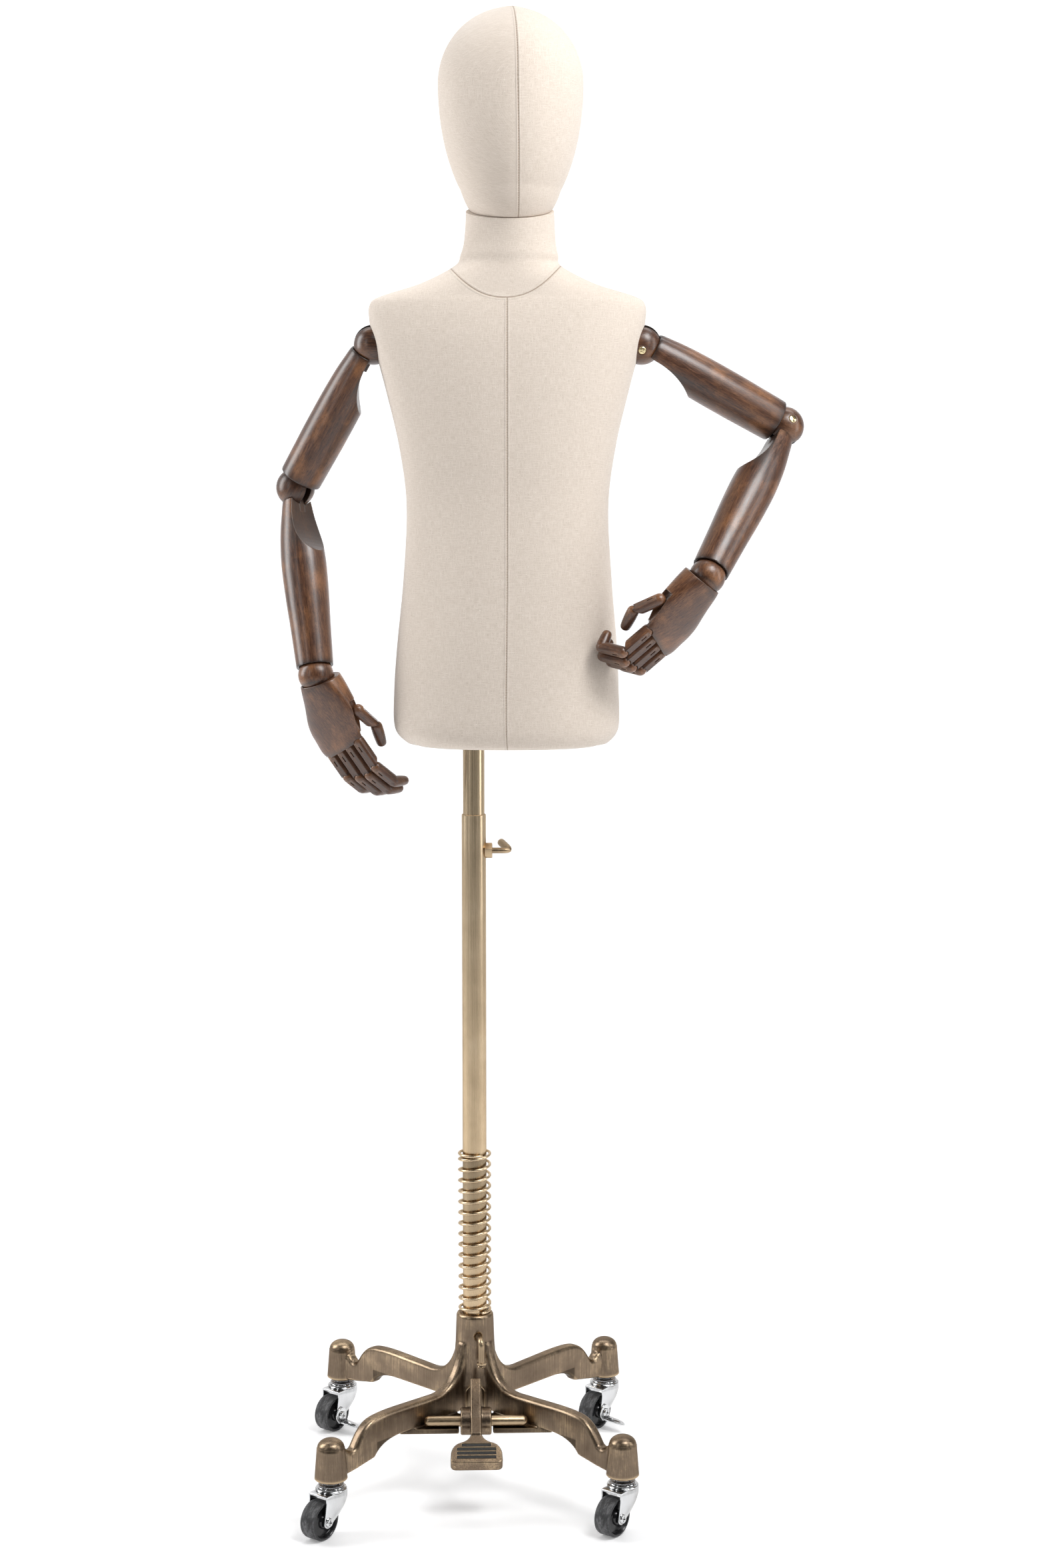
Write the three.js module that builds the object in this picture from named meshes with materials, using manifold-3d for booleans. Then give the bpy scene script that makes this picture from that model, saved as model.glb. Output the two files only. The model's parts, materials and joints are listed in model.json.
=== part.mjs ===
// A child-size display mannequin: a linen-covered torso and egg head on a height-adjustable pole,
// jointed wooden arms and fingers, and a four-legged cast base on swivel castors with a release pedal.
// Millimetres, +Z up, the front faces -Y. The build is laid out about the pole's axis and moved at the
// end so that the centre of its footprint box stands on the origin.
import * as THREE from "three";
import { mergeVertices } from "three/addons/utils/BufferGeometryUtils.js";
import Module from "manifold-3d";

const wasm = await Module();
wasm.setup();

// ---------------------------------------------------------------- driving dimensions
const GAP = 0.3; // running clearance between neighbouring pieces
const SEAT_GAP = 1.0; // round seats are cut in flats, so they are made this much larger than their balls
const DEGREE = Math.PI / 180;
// How finely round things are cut: pieces, and the finer tools that hollow a seat for them.
const FACETS = { limb: 14, ball: 14, seat: 16, finger: 8, fingerSeat: 10, pole: 18, wheel: 16, rod: 10, torso: 18, head: 14 };
const BASE_TURN = 1.8 * DEGREE; // the base stands slightly turned under the torso

const HUB = { top: 181, foot: 79, topRadius: 19.5, footRadius: 22.5, flareRadius: 25, bore: 12.5 + GAP };
const LEG = { reach: 207, thick: 14, under: 80.5, crest: 108, notchReach: 184, notchTop: 80, capFoot: 58.5 };
const CAP = { footRadius: 16.4, rimRadius: 13.6, rim: 91, top: 100.5, bore: 5.3 + GAP, boreTop: 88 };
const GUSSET = { low: 75.2, high: 80.7, back: 30, front: 74.5 };
const SHAFT = { y: -68, z: 86.6, radius: 5.5, halfLength: 53, endBevel: 4 };
const PEDAL = { armHalf: 5.5, bossRadius: 14, bossHalf: 16, padTilt: 30 * DEGREE, padHalf: 26, padLength: 38, thick: 11 };
const HUB_SCREW = { z: 160, turn: 10 * DEGREE, radius: 3.2, reach: 36, drop: 24 };

const CASTER = {
  trail: 18, axleZ: 21.5, wheelRadius: 19.5, wheelHalf: 9, axleRadius: 3, cheekGap: 10.6, cheekThick: 1.6, back: 20,
};
const CASTER_TURN = -127 * DEGREE; // every fork trails towards the front left
const STEM = { radius: 5.3, top: 86, neckRadius: 8.4, neckFoot: 52.8, rivetRadius: 3.6, rivetFoot: 43.6 };

const SPRING = { radius: 16, wire: 1.4, foot: 183, top: 352, turns: 16, sides: 4, stepsPerTurn: 8 };
const LOWER_POLE = { radius: 12.5, inner: 11 + GAP, foot: 122, top: 710 };
const UPPER_POLE = { radius: 11, foot: 560, top: 850 };
const POLE_NUT = { z: 672, across: 14.7, thick: 6.8 };
const POLE_SCREW = { radius: 3, reach: 37, handle: 30 };

const TORSO_X = 35; // the torso's middle stands this far to the side of the pole's axis
const LINEN = 1.7; // cover thickness
const SOCKET = { radius: 15, top: 860, foot: 782, boreTop: 853 };
const NECK_TOP = { x: 38, y: -10, z: 1320, tilt: 15 * DEGREE };
const HEAD = { x: 38.5, y: -14, widest: 1440, above: 74, below: 140, halfWidth: 71.5, front: 80, back: 84 };

const BALL = { radius: 20, slot: 3.4, tongue: 3, tongueRadius: 9, pegRadius: 5, pegReach: 42 };
const UPPER_ARM = { length: 171, topCut: 12, footCut: 11 };
const FOREARM = { length: 200, topCut: 11, footCut: 9 };
const WRIST = { radius: 18, palmCut: 6, pegRadius: 4.5, pegReach: 30 };
const PALM = { length: 80, offset: 23, knuckleHalf: 26, knuckleThick: 8.6, wristHalf: 21, wristThick: 18.6 };
const FINGER = { radius: 6, spacing: 13, socket: 6.8, endCut: 4.6, tipTaper: 0.82 };
const FINGERS = [
  { name: "index", across: -19.5, proximal: 33, middle: 25, distal: 19 },
  { name: "middle", across: -6.5, proximal: 36, middle: 26, distal: 20 },
  { name: "ring", across: 6.5, proximal: 33, middle: 24, distal: 19 },
  { name: "little", across: 19.5, proximal: 27, middle: 20, distal: 17 },
];
const THUMB = { across: -40, along: -27, palmward: 3, direction: [0.15, 0.85, 0.48], proximal: 30, distal: 24 };

// Where each arm points, and how its hand is turned: across runs from index to little finger,
// along is the way the fingers leave the palm.
const ARMS = {
  left: {
    side: -1,
    upper: [-0.489, 0.249, -0.836],
    fore: [0.12, -0.31, -0.943],
    along: [0.56, 0.03, -0.828],
    across: [-0.69, 0.57, -0.446],
    middleBend: 24,
    distalBend: 42,
    thumbBend: [0.5, 0.84, 0.2],
  },
  right: {
    side: 1,
    upper: [0.865, 0.17, -0.472],
    fore: [-0.425, -0.517, -0.745],
    along: [-0.755, -0.14, -0.636],
    across: [0.375, 0.707, -0.6],
    middleBend: 65,
    distalBend: 84,
    thumbBend: [0.72, 0.66, 0.2],
  },
};
const SHOULDER = { x: 135, y: 0, z: 1186.5 };

// ---------------------------------------------------------------- materials
const LOOKS = {
  brass: { color: 0x8a7858, roughness: 0.42, metalness: 0.9 },
  satin: { color: 0xa89878, roughness: 0.32, metalness: 0.9 },
  zinc: { color: 0xc9cbcc, roughness: 0.25, metalness: 0.95 },
  steel: { color: 0x8f9192, roughness: 0.35, metalness: 0.9 },
  rubber: { color: 0x1b1b1d, roughness: 0.35, metalness: 0 },
  wood: { color: 0x4a2b1d, roughness: 0.38, metalness: 0 },
  linen: { color: 0xe6ddd0, roughness: 0.95, metalness: 0 },
  foam: { color: 0xd8d2c4, roughness: 0.9, metalness: 0 },
};

// ---------------------------------------------------------------- solid helpers
// A three.js geometry as a closed manifold solid, turned right way out.
function solid(geometry) {
  const bare = new THREE.BufferGeometry();
  const flat = geometry.index ? geometry.toNonIndexed() : geometry;
  bare.setAttribute("position", flat.getAttribute("position").clone());
  const merged = mergeVertices(bare, 1e-3);
  const vertProperties = new Float32Array(merged.attributes.position.array);
  const triVerts = new Uint32Array(merged.index.array);
  const made = new wasm.Manifold(new wasm.Mesh({ numProp: 3, vertProperties, triVerts }));
  if (made.volume() > 0) return made;
  for (let i = 0; i < triVerts.length; i += 3) {
    [triVerts[i + 1], triVerts[i + 2]] = [triVerts[i + 2], triVerts[i + 1]];
  }
  return new wasm.Manifold(new wasm.Mesh({ numProp: 3, vertProperties, triVerts }));
}

function geometryOf(made) {
  const mesh = made.getMesh();
  const positions = new Float32Array(mesh.numVert * 3);
  for (let i = 0; i < mesh.numVert; i++) {
    positions.set(mesh.vertProperties.subarray(i * mesh.numProp, i * mesh.numProp + 3), i * 3);
  }
  const geometry = new THREE.BufferGeometry();
  geometry.setAttribute("position", new THREE.BufferAttribute(positions, 3));
  geometry.setIndex(new THREE.BufferAttribute(new Uint32Array(mesh.triVerts), 1));
  return geometry.toNonIndexed();
}

const union = (pieces) => pieces.reduce((sum, piece) => sum.add(piece));
const cut = (body, tools) => tools.reduce((rest, tool) => rest.subtract(tool), body);

// A profile of [radius, height] pairs turned about Z.
function turned(profile, segments = FACETS.limb) {
  const points = profile.map(([radius, height]) => new THREE.Vector2(radius, height));
  return new THREE.LatheGeometry(points, segments).rotateX(Math.PI / 2);
}

// A solid rod or drilled-out ring about Z between two heights.
function rod(radius, low, high, segments = FACETS.rod) {
  return new THREE.CylinderGeometry(radius, radius, high - low, segments)
    .rotateX(Math.PI / 2)
    .translate(0, 0, (low + high) / 2);
}

function ring(outer, inner, low, high, segments = FACETS.pole) {
  return turned([[inner, low], [outer, low], [outer, high], [inner, high], [inner, low]], segments);
}

function block(x, y, z) {
  return new THREE.BoxGeometry(x[1] - x[0], y[1] - y[0], z[1] - z[0]).translate(
    (x[0] + x[1]) / 2,
    (y[0] + y[1]) / 2,
    (z[0] + z[1]) / 2,
  );
}

function ball(radius, segments = FACETS.ball) {
  return new THREE.SphereGeometry(radius, segments, segments / 2).rotateX(Math.PI / 2);
}

// A flat outline in the X-Y plane pushed along Z from low to high, its edges rounded by bevel.
function plate(shape, low, high, bevel = 0, curveSegments = 3) {
  return new THREE.ExtrudeGeometry(shape, {
    depth: high - low - 2 * bevel,
    bevelEnabled: bevel > 0,
    bevelThickness: bevel,
    bevelSize: bevel,
    bevelOffset: -bevel,
    bevelSegments: 1,
    curveSegments,
  }).translate(0, 0, low + bevel);
}

function polygon(corners) {
  return new THREE.Shape(corners.map(([x, y]) => new THREE.Vector2(x, y)));
}

// A round bar swept along a smooth path.
function bar(path, radius, steps, sides = 8) {
  const around = Array.from({ length: sides }, (_, i) => {
    const angle = (2 * Math.PI * i) / sides;
    return [radius * Math.cos(angle), radius * Math.sin(angle)];
  });
  return new THREE.ExtrudeGeometry(polygon(around), {
    steps,
    bevelEnabled: false,
    extrudePath: path,
  });
}

// Closed rings of equal point count skinned into one body, with a fan at each end.
function loft(rings) {
  const count = rings[0].length;
  const positions = [];
  const push = (...points) => points.forEach((p) => positions.push(p.x, p.y, p.z));
  for (let k = 0; k + 1 < rings.length; k++) {
    for (let i = 0; i < count; i++) {
      const j = (i + 1) % count;
      push(rings[k][i], rings[k][j], rings[k + 1][j]);
      push(rings[k][i], rings[k + 1][j], rings[k + 1][i]);
    }
  }
  for (const [rim, flip] of [[rings[0], true], [rings[rings.length - 1], false]]) {
    const middle = rim.reduce((sum, p) => sum.add(p), new THREE.Vector3()).divideScalar(count);
    for (let i = 0; i < count; i++) {
      const j = (i + 1) % count;
      if (flip) push(middle, rim[j], rim[i]);
      else push(middle, rim[i], rim[j]);
    }
  }
  const geometry = new THREE.BufferGeometry();
  geometry.setAttribute("position", new THREE.Float32BufferAttribute(positions, 3));
  return geometry;
}

// A superellipse ring with its own front and back depth; front is -Y.
function ovalRing({ x = 0, y = 0, z, halfWidth, front, back, power = 2.3 }, segments = FACETS.torso) {
  const points = [];
  for (let i = 0; i < segments; i++) {
    const angle = (2 * Math.PI * i) / segments;
    const c = Math.cos(angle);
    const s = Math.sin(angle);
    const across = Math.sign(c) * Math.abs(c) ** (2 / power);
    const deep = Math.sign(s) * Math.abs(s) ** (2 / power);
    points.push(new THREE.Vector3(x + halfWidth * across, y + (s < 0 ? front : back) * deep, z));
  }
  return points;
}

const group = new THREE.Group();
group.name = "display_mannequin";

function addMesh(parent, name, shape, look) {
  const material = new THREE.MeshStandardMaterial(LOOKS[look]);
  const geometry = shape.isBufferGeometry ? shape : geometryOf(shape);
  const mesh = new THREE.Mesh(geometry, material);
  mesh.name = name;
  parent.add(mesh);
  return mesh;
}

// A group whose Z axis is along and whose Y axis is the pin, placed at a point of its parent.
function frameGroup(parent, name, origin, along, pin) {
  const z = new THREE.Vector3(...along).normalize();
  const y = new THREE.Vector3(...pin);
  y.addScaledVector(z, -y.dot(z)).normalize();
  const x = new THREE.Vector3().crossVectors(y, z);
  const frame = new THREE.Group();
  frame.name = name;
  frame.applyMatrix4(new THREE.Matrix4().makeBasis(x, y, z).setPosition(new THREE.Vector3(...origin)));
  parent.add(frame);
  return frame;
}

// ---------------------------------------------------------------- base
// One leg's side outline, reach against height, with a concave rise up the hub.
function legOutline() {
  const shape = new THREE.Shape();
  shape.moveTo(HUB.bore + 2, LEG.under);
  shape.lineTo(118, LEG.under);
  shape.quadraticCurveTo(143, LEG.under - 1, 152, 66);
  shape.lineTo(178, LEG.capFoot + 2.5);
  shape.lineTo(LEG.reach - 8, LEG.capFoot);
  shape.lineTo(LEG.reach - 8, 88);
  shape.lineTo(LEG.notchReach + 6, 86);
  shape.quadraticCurveTo(LEG.notchReach, LEG.notchTop - 2, LEG.notchReach - 6, LEG.notchTop + 3);
  shape.bezierCurveTo(172, 92, 165, 105, 148, 107);
  shape.quadraticCurveTo(134, LEG.crest + 0.8, 110, LEG.crest);
  shape.lineTo(62, 106.5);
  shape.quadraticCurveTo(30, 107, 22, 150);
  shape.lineTo(HUB.bore + 2, 160);
  return shape;
}

function capSolid() {
  const dome = [[CAP.rimRadius, CAP.rim], [12.2, 95.4], [7.4, 99.4], [0, CAP.top]];
  const profile = [[0, LEG.capFoot], [CAP.footRadius, LEG.capFoot], ...dome];
  return solid(turned(profile)).translate(LEG.reach, 0, 0);
}

function baseCasting(parent) {
  const hubProfile = [
    [0, HUB.foot], [HUB.flareRadius, HUB.foot], [HUB.flareRadius - 0.5, 108], [HUB.footRadius, 122],
    [HUB.topRadius, HUB.top - 2], [HUB.topRadius - 1.5, HUB.top], [0, HUB.top],
  ];
  const leg = solid(plate(legOutline(), -LEG.thick / 2, LEG.thick / 2, 3.2).rotateX(Math.PI / 2)).add(capSolid());
  const legs = [45, 135, 225, 315].map((angle) => leg.rotate([0, 0, angle]));
  const wide = GUSSET.front + 4;
  const gusset = solid(
    plate(
      polygon([[-GUSSET.back, -GUSSET.back], [GUSSET.back, -GUSSET.back], [wide, -GUSSET.front], [-wide, -GUSSET.front]]),
      GUSSET.low,
      GUSSET.high,
    ),
  );
  const bossRoom = PEDAL.bossHalf + 1.5;
  const stemBore = solid(rod(CAP.bore, LEG.capFoot - 1, CAP.boreTop)).translate(LEG.reach, 0, 0);
  const screwBore = solid(rod(HUB_SCREW.radius + GAP, 0, 40).rotateX(Math.PI / 2)).translate(0, 0, HUB_SCREW.z);
  const niche = solid(plate(polygon([[-9, 70], [9, 70], [9, 102], [0, 113], [-9, 102]]), 13, 40).rotateX(Math.PI / 2));
  const body = cut(union([solid(turned(hubProfile, FACETS.pole)), ...legs, gusset]), [
    solid(rod(HUB.bore, HUB.foot - 20, HUB.top + 1, FACETS.pole)),
    solid(block([-bossRoom, bossRoom], [-GUSSET.front - 1, SHAFT.y + PEDAL.bossRadius + 2], [70, GUSSET.high + 1])),
    solid(block([-PEDAL.armHalf - 2, PEDAL.armHalf + 2], [-60, -36], [GUSSET.high - 9, GUSSET.high + 1])),
    screwBore.rotate([0, 0, HUB_SCREW.turn / DEGREE]),
    niche,
    ...[45, 135, 225, 315].map((angle) => stemBore.rotate([0, 0, angle])),
  ]);
  addMesh(parent, "base_casting", body, "brass");
}

// The pedal's pivot bar, resting on the gusset between the front legs.
function pedalShaft(parent) {
  const profile = [
    [0, -SHAFT.halfLength], [SHAFT.radius - 3, -SHAFT.halfLength], [SHAFT.radius, SHAFT.endBevel - SHAFT.halfLength],
    [SHAFT.radius, SHAFT.halfLength - SHAFT.endBevel], [SHAFT.radius - 3, SHAFT.halfLength], [0, SHAFT.halfLength],
  ];
  const shaft = turned(profile).rotateY(Math.PI / 2);
  addMesh(parent, "pedal_shaft", shaft, "brass").position.set(0, SHAFT.y, SHAFT.z);
}

// The foot lever: an arm from under the hub over the shaft, widening to a ribbed pad.
function pedal(parent) {
  const arm = polygon([[-43, 123], [-82, 94], [-97, 84], [-105, 70], [-90, 72], [-60, 92], [-37, 113]]);
  const armSolid = solid(plate(arm, -PEDAL.armHalf, PEDAL.armHalf).applyMatrix4(yzPlane()));
  const boss = solid(rod(PEDAL.bossRadius, -PEDAL.bossHalf, PEDAL.bossHalf, FACETS.pole).rotateY(Math.PI / 2));
  const pad = new THREE.Shape();
  pad.moveTo(-PEDAL.armHalf, 0);
  pad.quadraticCurveTo(-PEDAL.armHalf - 1, -9, -17, -12);
  pad.quadraticCurveTo(-24, -14.5, -PEDAL.padHalf, -24);
  pad.lineTo(-PEDAL.padHalf - 0.5, -PEDAL.padLength + 4);
  pad.quadraticCurveTo(-PEDAL.padHalf, -PEDAL.padLength, -PEDAL.padHalf + 5, -PEDAL.padLength);
  pad.lineTo(PEDAL.padHalf - 5, -PEDAL.padLength);
  pad.quadraticCurveTo(PEDAL.padHalf, -PEDAL.padLength, PEDAL.padHalf + 0.5, -PEDAL.padLength + 4);
  pad.lineTo(PEDAL.padHalf, -24);
  pad.quadraticCurveTo(24, -14.5, 17, -12);
  pad.quadraticCurveTo(PEDAL.armHalf + 1, -9, PEDAL.armHalf, 0);
  const grooves = [-15.5, -20.5, -25.5, -30.5].map((along, i) => {
    const half = i === 0 ? 15 : 20;
    return solid(block([-half, half], [along - 1.4, along + 1.4], [-1.2, 1]));
  });
  const padSolid = cut(solid(plate(pad, -PEDAL.thick, 0)), grooves)
    .rotate([PEDAL.padTilt / DEGREE, 0, 0])
    .translate(0, -95, 84.5);
  const bore = solid(rod(SHAFT.radius + GAP / 2, -40, 40, FACETS.pole).rotateY(Math.PI / 2)).translate(0, SHAFT.y, SHAFT.z);
  const body = cut(union([armSolid, boss.translate(0, SHAFT.y, SHAFT.z), padSolid]), [bore]);
  addMesh(parent, "pedal", body, "brass");
}

// Turns an outline drawn in X-Y, extruded along Z, into one drawn in Y-Z, extruded along X.
function yzPlane() {
  return new THREE.Matrix4().makeBasis(
    new THREE.Vector3(0, 1, 0),
    new THREE.Vector3(0, 0, 1),
    new THREE.Vector3(1, 0, 0),
  );
}

// A clamping screw bent down into a handle, with a ringed tip. It lies along -Y at the origin.
function hubScrew(parent) {
  const path = new THREE.CurvePath();
  const start = new THREE.Vector3(0, -HUB.bore - 0.2, 0);
  const bend = new THREE.Vector3(0, -HUB_SCREW.reach, 0);
  const before = new THREE.Vector3(0, -HUB_SCREW.reach + 7, 0);
  const after = new THREE.Vector3(0, -HUB_SCREW.reach, -7);
  const end = new THREE.Vector3(0, -HUB_SCREW.reach, -HUB_SCREW.drop);
  path.add(new THREE.LineCurve3(start, before));
  path.add(new THREE.QuadraticBezierCurve3(before, bend, after));
  path.add(new THREE.LineCurve3(after, end));
  const tip = turned([
    [0, -4.5], [3.6, -4.2], [4.6, -2.6], [3.9, -1.4], [5.2, -0.6], [5.2, 0.8], [3.9, 1.6], [0, 1.8],
  ], FACETS.rod);
  const body = solid(bar(path, HUB_SCREW.radius, 14)).add(
    solid(tip).translate(0, -HUB_SCREW.reach, -HUB_SCREW.drop),
  );
  const frame = new THREE.Group();
  frame.name = "frame_hub_screw";
  frame.position.z = HUB_SCREW.z;
  frame.rotation.z = HUB_SCREW.turn;
  parent.add(frame);
  addMesh(frame, "hub_lock_screw", body, "brass");
}

// ---------------------------------------------------------------- castors
function casterStem(parent, name) {
  const profile = [
    [0, STEM.rivetFoot], [6, STEM.rivetFoot], [6, STEM.rivetFoot + 1.6], [STEM.rivetRadius, STEM.rivetFoot + 1.6],
    [STEM.rivetRadius, STEM.neckFoot], [STEM.neckRadius, STEM.neckFoot], [STEM.neckRadius, LEG.capFoot - GAP],
    [STEM.radius, LEG.capFoot - GAP], [STEM.radius, STEM.top - 1.5], [STEM.radius - 1.5, STEM.top], [0, STEM.top],
  ];
  addMesh(parent, name, turned(profile, FACETS.rod), "steel");
}

// The swivel head: a raceway disc, a bent plate with two cheeks, and the axle with its heads.
// The wheel's centre is at -trail along local X, its axle along local Y.
function casterFork(parent, name, braked) {
  const half = CASTER.cheekGap;
  const outer = half + CASTER.cheekThick;
  const race = solid(turned([
    [STEM.rivetRadius + GAP, 45.6], [9, 45.6], [15.6, 47.6], [16, 49.4], [13, 52], [10, 52.4], [STEM.rivetRadius + GAP, 52.4],
    [STEM.rivetRadius + GAP, 45.6],
  ]));
  const top = solid(plate(polygon([[-CASTER.back, -outer], [11, -outer], [11, outer], [-CASTER.back, outer]]), 45.6, 47.6));
  const cheekShape = new THREE.Shape();
  cheekShape.moveTo(-CASTER.back, 47);
  cheekShape.lineTo(11, 47);
  cheekShape.lineTo(11, 41);
  cheekShape.quadraticCurveTo(8, 30, -CASTER.trail + 5.4, CASTER.axleZ - 3);
  cheekShape.absarc(-CASTER.trail, CASTER.axleZ, 6.2, -0.5, -Math.PI + 0.3, true);
  cheekShape.lineTo(-CASTER.back, 41);
  const cheek = plate(cheekShape, -outer, -half).rotateX(Math.PI / 2);
  const cheeks = [solid(cheek), solid(cheek.clone()).mirror([0, 1, 0])];
  const axleNear = outer + (braked ? 2.6 : 0);
  const axle = solid(turned([
    [0, -outer - 2], [4, -outer - 2], [4.6, -outer - 1], [4.6, -outer + 0.2], [CASTER.axleRadius, -outer + 0.2],
    [CASTER.axleRadius, axleNear], [4.6, axleNear], [4.6, axleNear + 1.2], [4, axleNear + 2.2], [0, axleNear + 2.2],
  ], FACETS.rod).rotateX(Math.PI / 2)).translate(-CASTER.trail, 0, CASTER.axleZ);
  const bore = solid(rod(STEM.rivetRadius + GAP, 40, 60, FACETS.limb));
  const rivetRoom = solid(rod(7, 40, 45.7));
  addMesh(parent, name, cut(union([race, top, ...cheeks]), [bore, rivetRoom]).add(axle), "zinc");
}

function casterWheel(parent, name) {
  const half = CASTER.wheelHalf;
  const bore = CASTER.axleRadius + GAP;
  const side = (sign) => [
    [bore, sign * (half - 0.5)], [7, sign * (half - 0.5)], [8, sign * (half - 4)], [15.5, sign * (half - 4)],
    [16.5, sign * half], [CASTER.wheelRadius - 1.2, sign * half], [CASTER.wheelRadius, sign * (half - 1.8)],
  ];
  const profile = [...side(-1), ...side(1).reverse(), [bore, -(half - 0.5)]];
  const wheel = turned(profile, FACETS.wheel).rotateX(Math.PI / 2);
  addMesh(parent, name, wheel, "rubber").position.set(-CASTER.trail, 0, CASTER.axleZ);
}

// A brake plate turning on the axle outside the cheek, its blade bent out sideways for a toe.
// It hangs on the cheek at -Y, the side the axle's long head is on.
function casterBrake(parent, name) {
  const near = CASTER.cheekGap + CASTER.cheekThick + GAP;
  const far = near + 1.8;
  const outline = new THREE.Shape();
  outline.absarc(0, 0, 8.6, -0.35, Math.PI + 0.7, false);
  outline.lineTo(-4, -8.6);
  outline.lineTo(7, -8.6);
  const disc = plate(outline, near, far).rotateX(Math.PI / 2);
  const blade = new THREE.Shape();
  blade.moveTo(-4.5, 0);
  blade.lineTo(6.5, 0);
  blade.bezierCurveTo(6.5, -14, 6, -22, 1.5, -27);
  blade.quadraticCurveTo(0.4, -28.4, -0.8, -27);
  blade.bezierCurveTo(-4, -22, -4.5, -12, -4.5, 0);
  const bladeSolid = solid(plate(blade, -1.8, 0)).rotate([5, 0, 0]).translate(0, -near, -5.4);
  const body = cut(union([solid(disc), bladeSolid]), [
    solid(rod(CASTER.axleRadius + GAP, -30, 30).rotateX(Math.PI / 2)),
  ]);
  addMesh(parent, name, body, "zinc").position.set(-CASTER.trail, 0, CASTER.axleZ);
}

function casters(parent) {
  const corners = { rr: 45, rl: 135, fl: 225, fr: 315 };
  for (const [corner, angle] of Object.entries(corners)) {
    const mount = new THREE.Group();
    mount.name = `frame_caster_${corner}`;
    const turn = angle * DEGREE + BASE_TURN;
    mount.position.set(LEG.reach * Math.cos(turn), LEG.reach * Math.sin(turn), 0);
    mount.rotation.z = CASTER_TURN + Math.PI;
    parent.add(mount);
    const braked = corner.startsWith("r");
    casterStem(mount, `caster_stem_${corner}`);
    casterFork(mount, `caster_fork_${corner}`, braked);
    casterWheel(mount, `caster_wheel_${corner}`);
    if (braked) casterBrake(mount, `caster_brake_${corner}`);
  }
}

// ---------------------------------------------------------------- poles
class Helix extends THREE.Curve {
  getPoint(t, target = new THREE.Vector3()) {
    const closed = 1 / SPRING.turns; // the last turn at each end lies almost flat
    const rise = THREE.MathUtils.clamp((t - 0.8 * closed) / (1 - 1.6 * closed), 0, 1);
    const angle = 2 * Math.PI * SPRING.turns * t - Math.PI / 3;
    const flat = 3.2 * Math.min(1, t / (0.8 * closed));
    const z = SPRING.foot + flat + rise * (SPRING.top - SPRING.foot - 3.2);
    return target.set(SPRING.radius * Math.cos(angle), SPRING.radius * Math.sin(angle), z);
  }
}

function spring(parent) {
  const coil = bar(new Helix(), SPRING.wire, SPRING.turns * SPRING.stepsPerTurn, SPRING.sides);
  addMesh(parent, "spring", coil, "satin");
}

function lowerPole(parent) {
  const tube = solid(ring(LOWER_POLE.radius, LOWER_POLE.inner, LOWER_POLE.foot, LOWER_POLE.top));
  const nut = solid(rod(POLE_NUT.across / Math.sqrt(3), 11.6, 12.2 + POLE_NUT.thick, 6).rotateY(Math.PI / 2));
  const bore = solid(rod(POLE_SCREW.radius + GAP, 5, 40).rotateY(Math.PI / 2)).translate(0, 0, POLE_NUT.z);
  const room = solid(rod(LOWER_POLE.inner, POLE_NUT.z - 30, POLE_NUT.z + 30, FACETS.pole));
  const nutRing = nut.translate(0, 0, POLE_NUT.z).subtract(room);
  addMesh(parent, "lower_pole", cut(tube.add(nutRing), [bore]), "satin");
}

// The clamping screw on the pole: a shank along +X bent back into a handle.
function poleScrew(parent) {
  const reach = POLE_SCREW.reach;
  const start = new THREE.Vector3(UPPER_POLE.radius + GAP, 0, 0);
  const before = new THREE.Vector3(reach - 7, 0, 0);
  const corner = new THREE.Vector3(reach, 0, 0);
  const after = new THREE.Vector3(reach - 1.5, 7, 0.8);
  const end = new THREE.Vector3(reach - 9, POLE_SCREW.handle, 4);
  const path = new THREE.CurvePath();
  path.add(new THREE.LineCurve3(start, before));
  path.add(new THREE.QuadraticBezierCurve3(before, corner, after));
  path.add(new THREE.LineCurve3(after, end));
  const tip = solid(ball(POLE_SCREW.radius + 0.6, 8)).translate(end.x, end.y, end.z);
  const body = solid(bar(path, POLE_SCREW.radius, 14)).add(tip);
  addMesh(parent, "pole_lock_screw", body, "satin").position.z = POLE_NUT.z;
}

function upperPole(parent) {
  addMesh(parent, "upper_pole", ring(UPPER_POLE.radius, UPPER_POLE.radius - 1.4, UPPER_POLE.foot, UPPER_POLE.top), "satin");
}

function poleSocket(parent) {
  const inner = UPPER_POLE.radius + GAP;
  const profile = [
    [inner, SOCKET.foot], [SOCKET.radius, SOCKET.foot], [SOCKET.radius, SOCKET.top], [0, SOCKET.top], [0, SOCKET.boreTop],
    [inner, SOCKET.boreTop], [inner, SOCKET.foot],
  ];
  addMesh(parent, "pole_socket", turned(profile, FACETS.pole), "steel");
}

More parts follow.
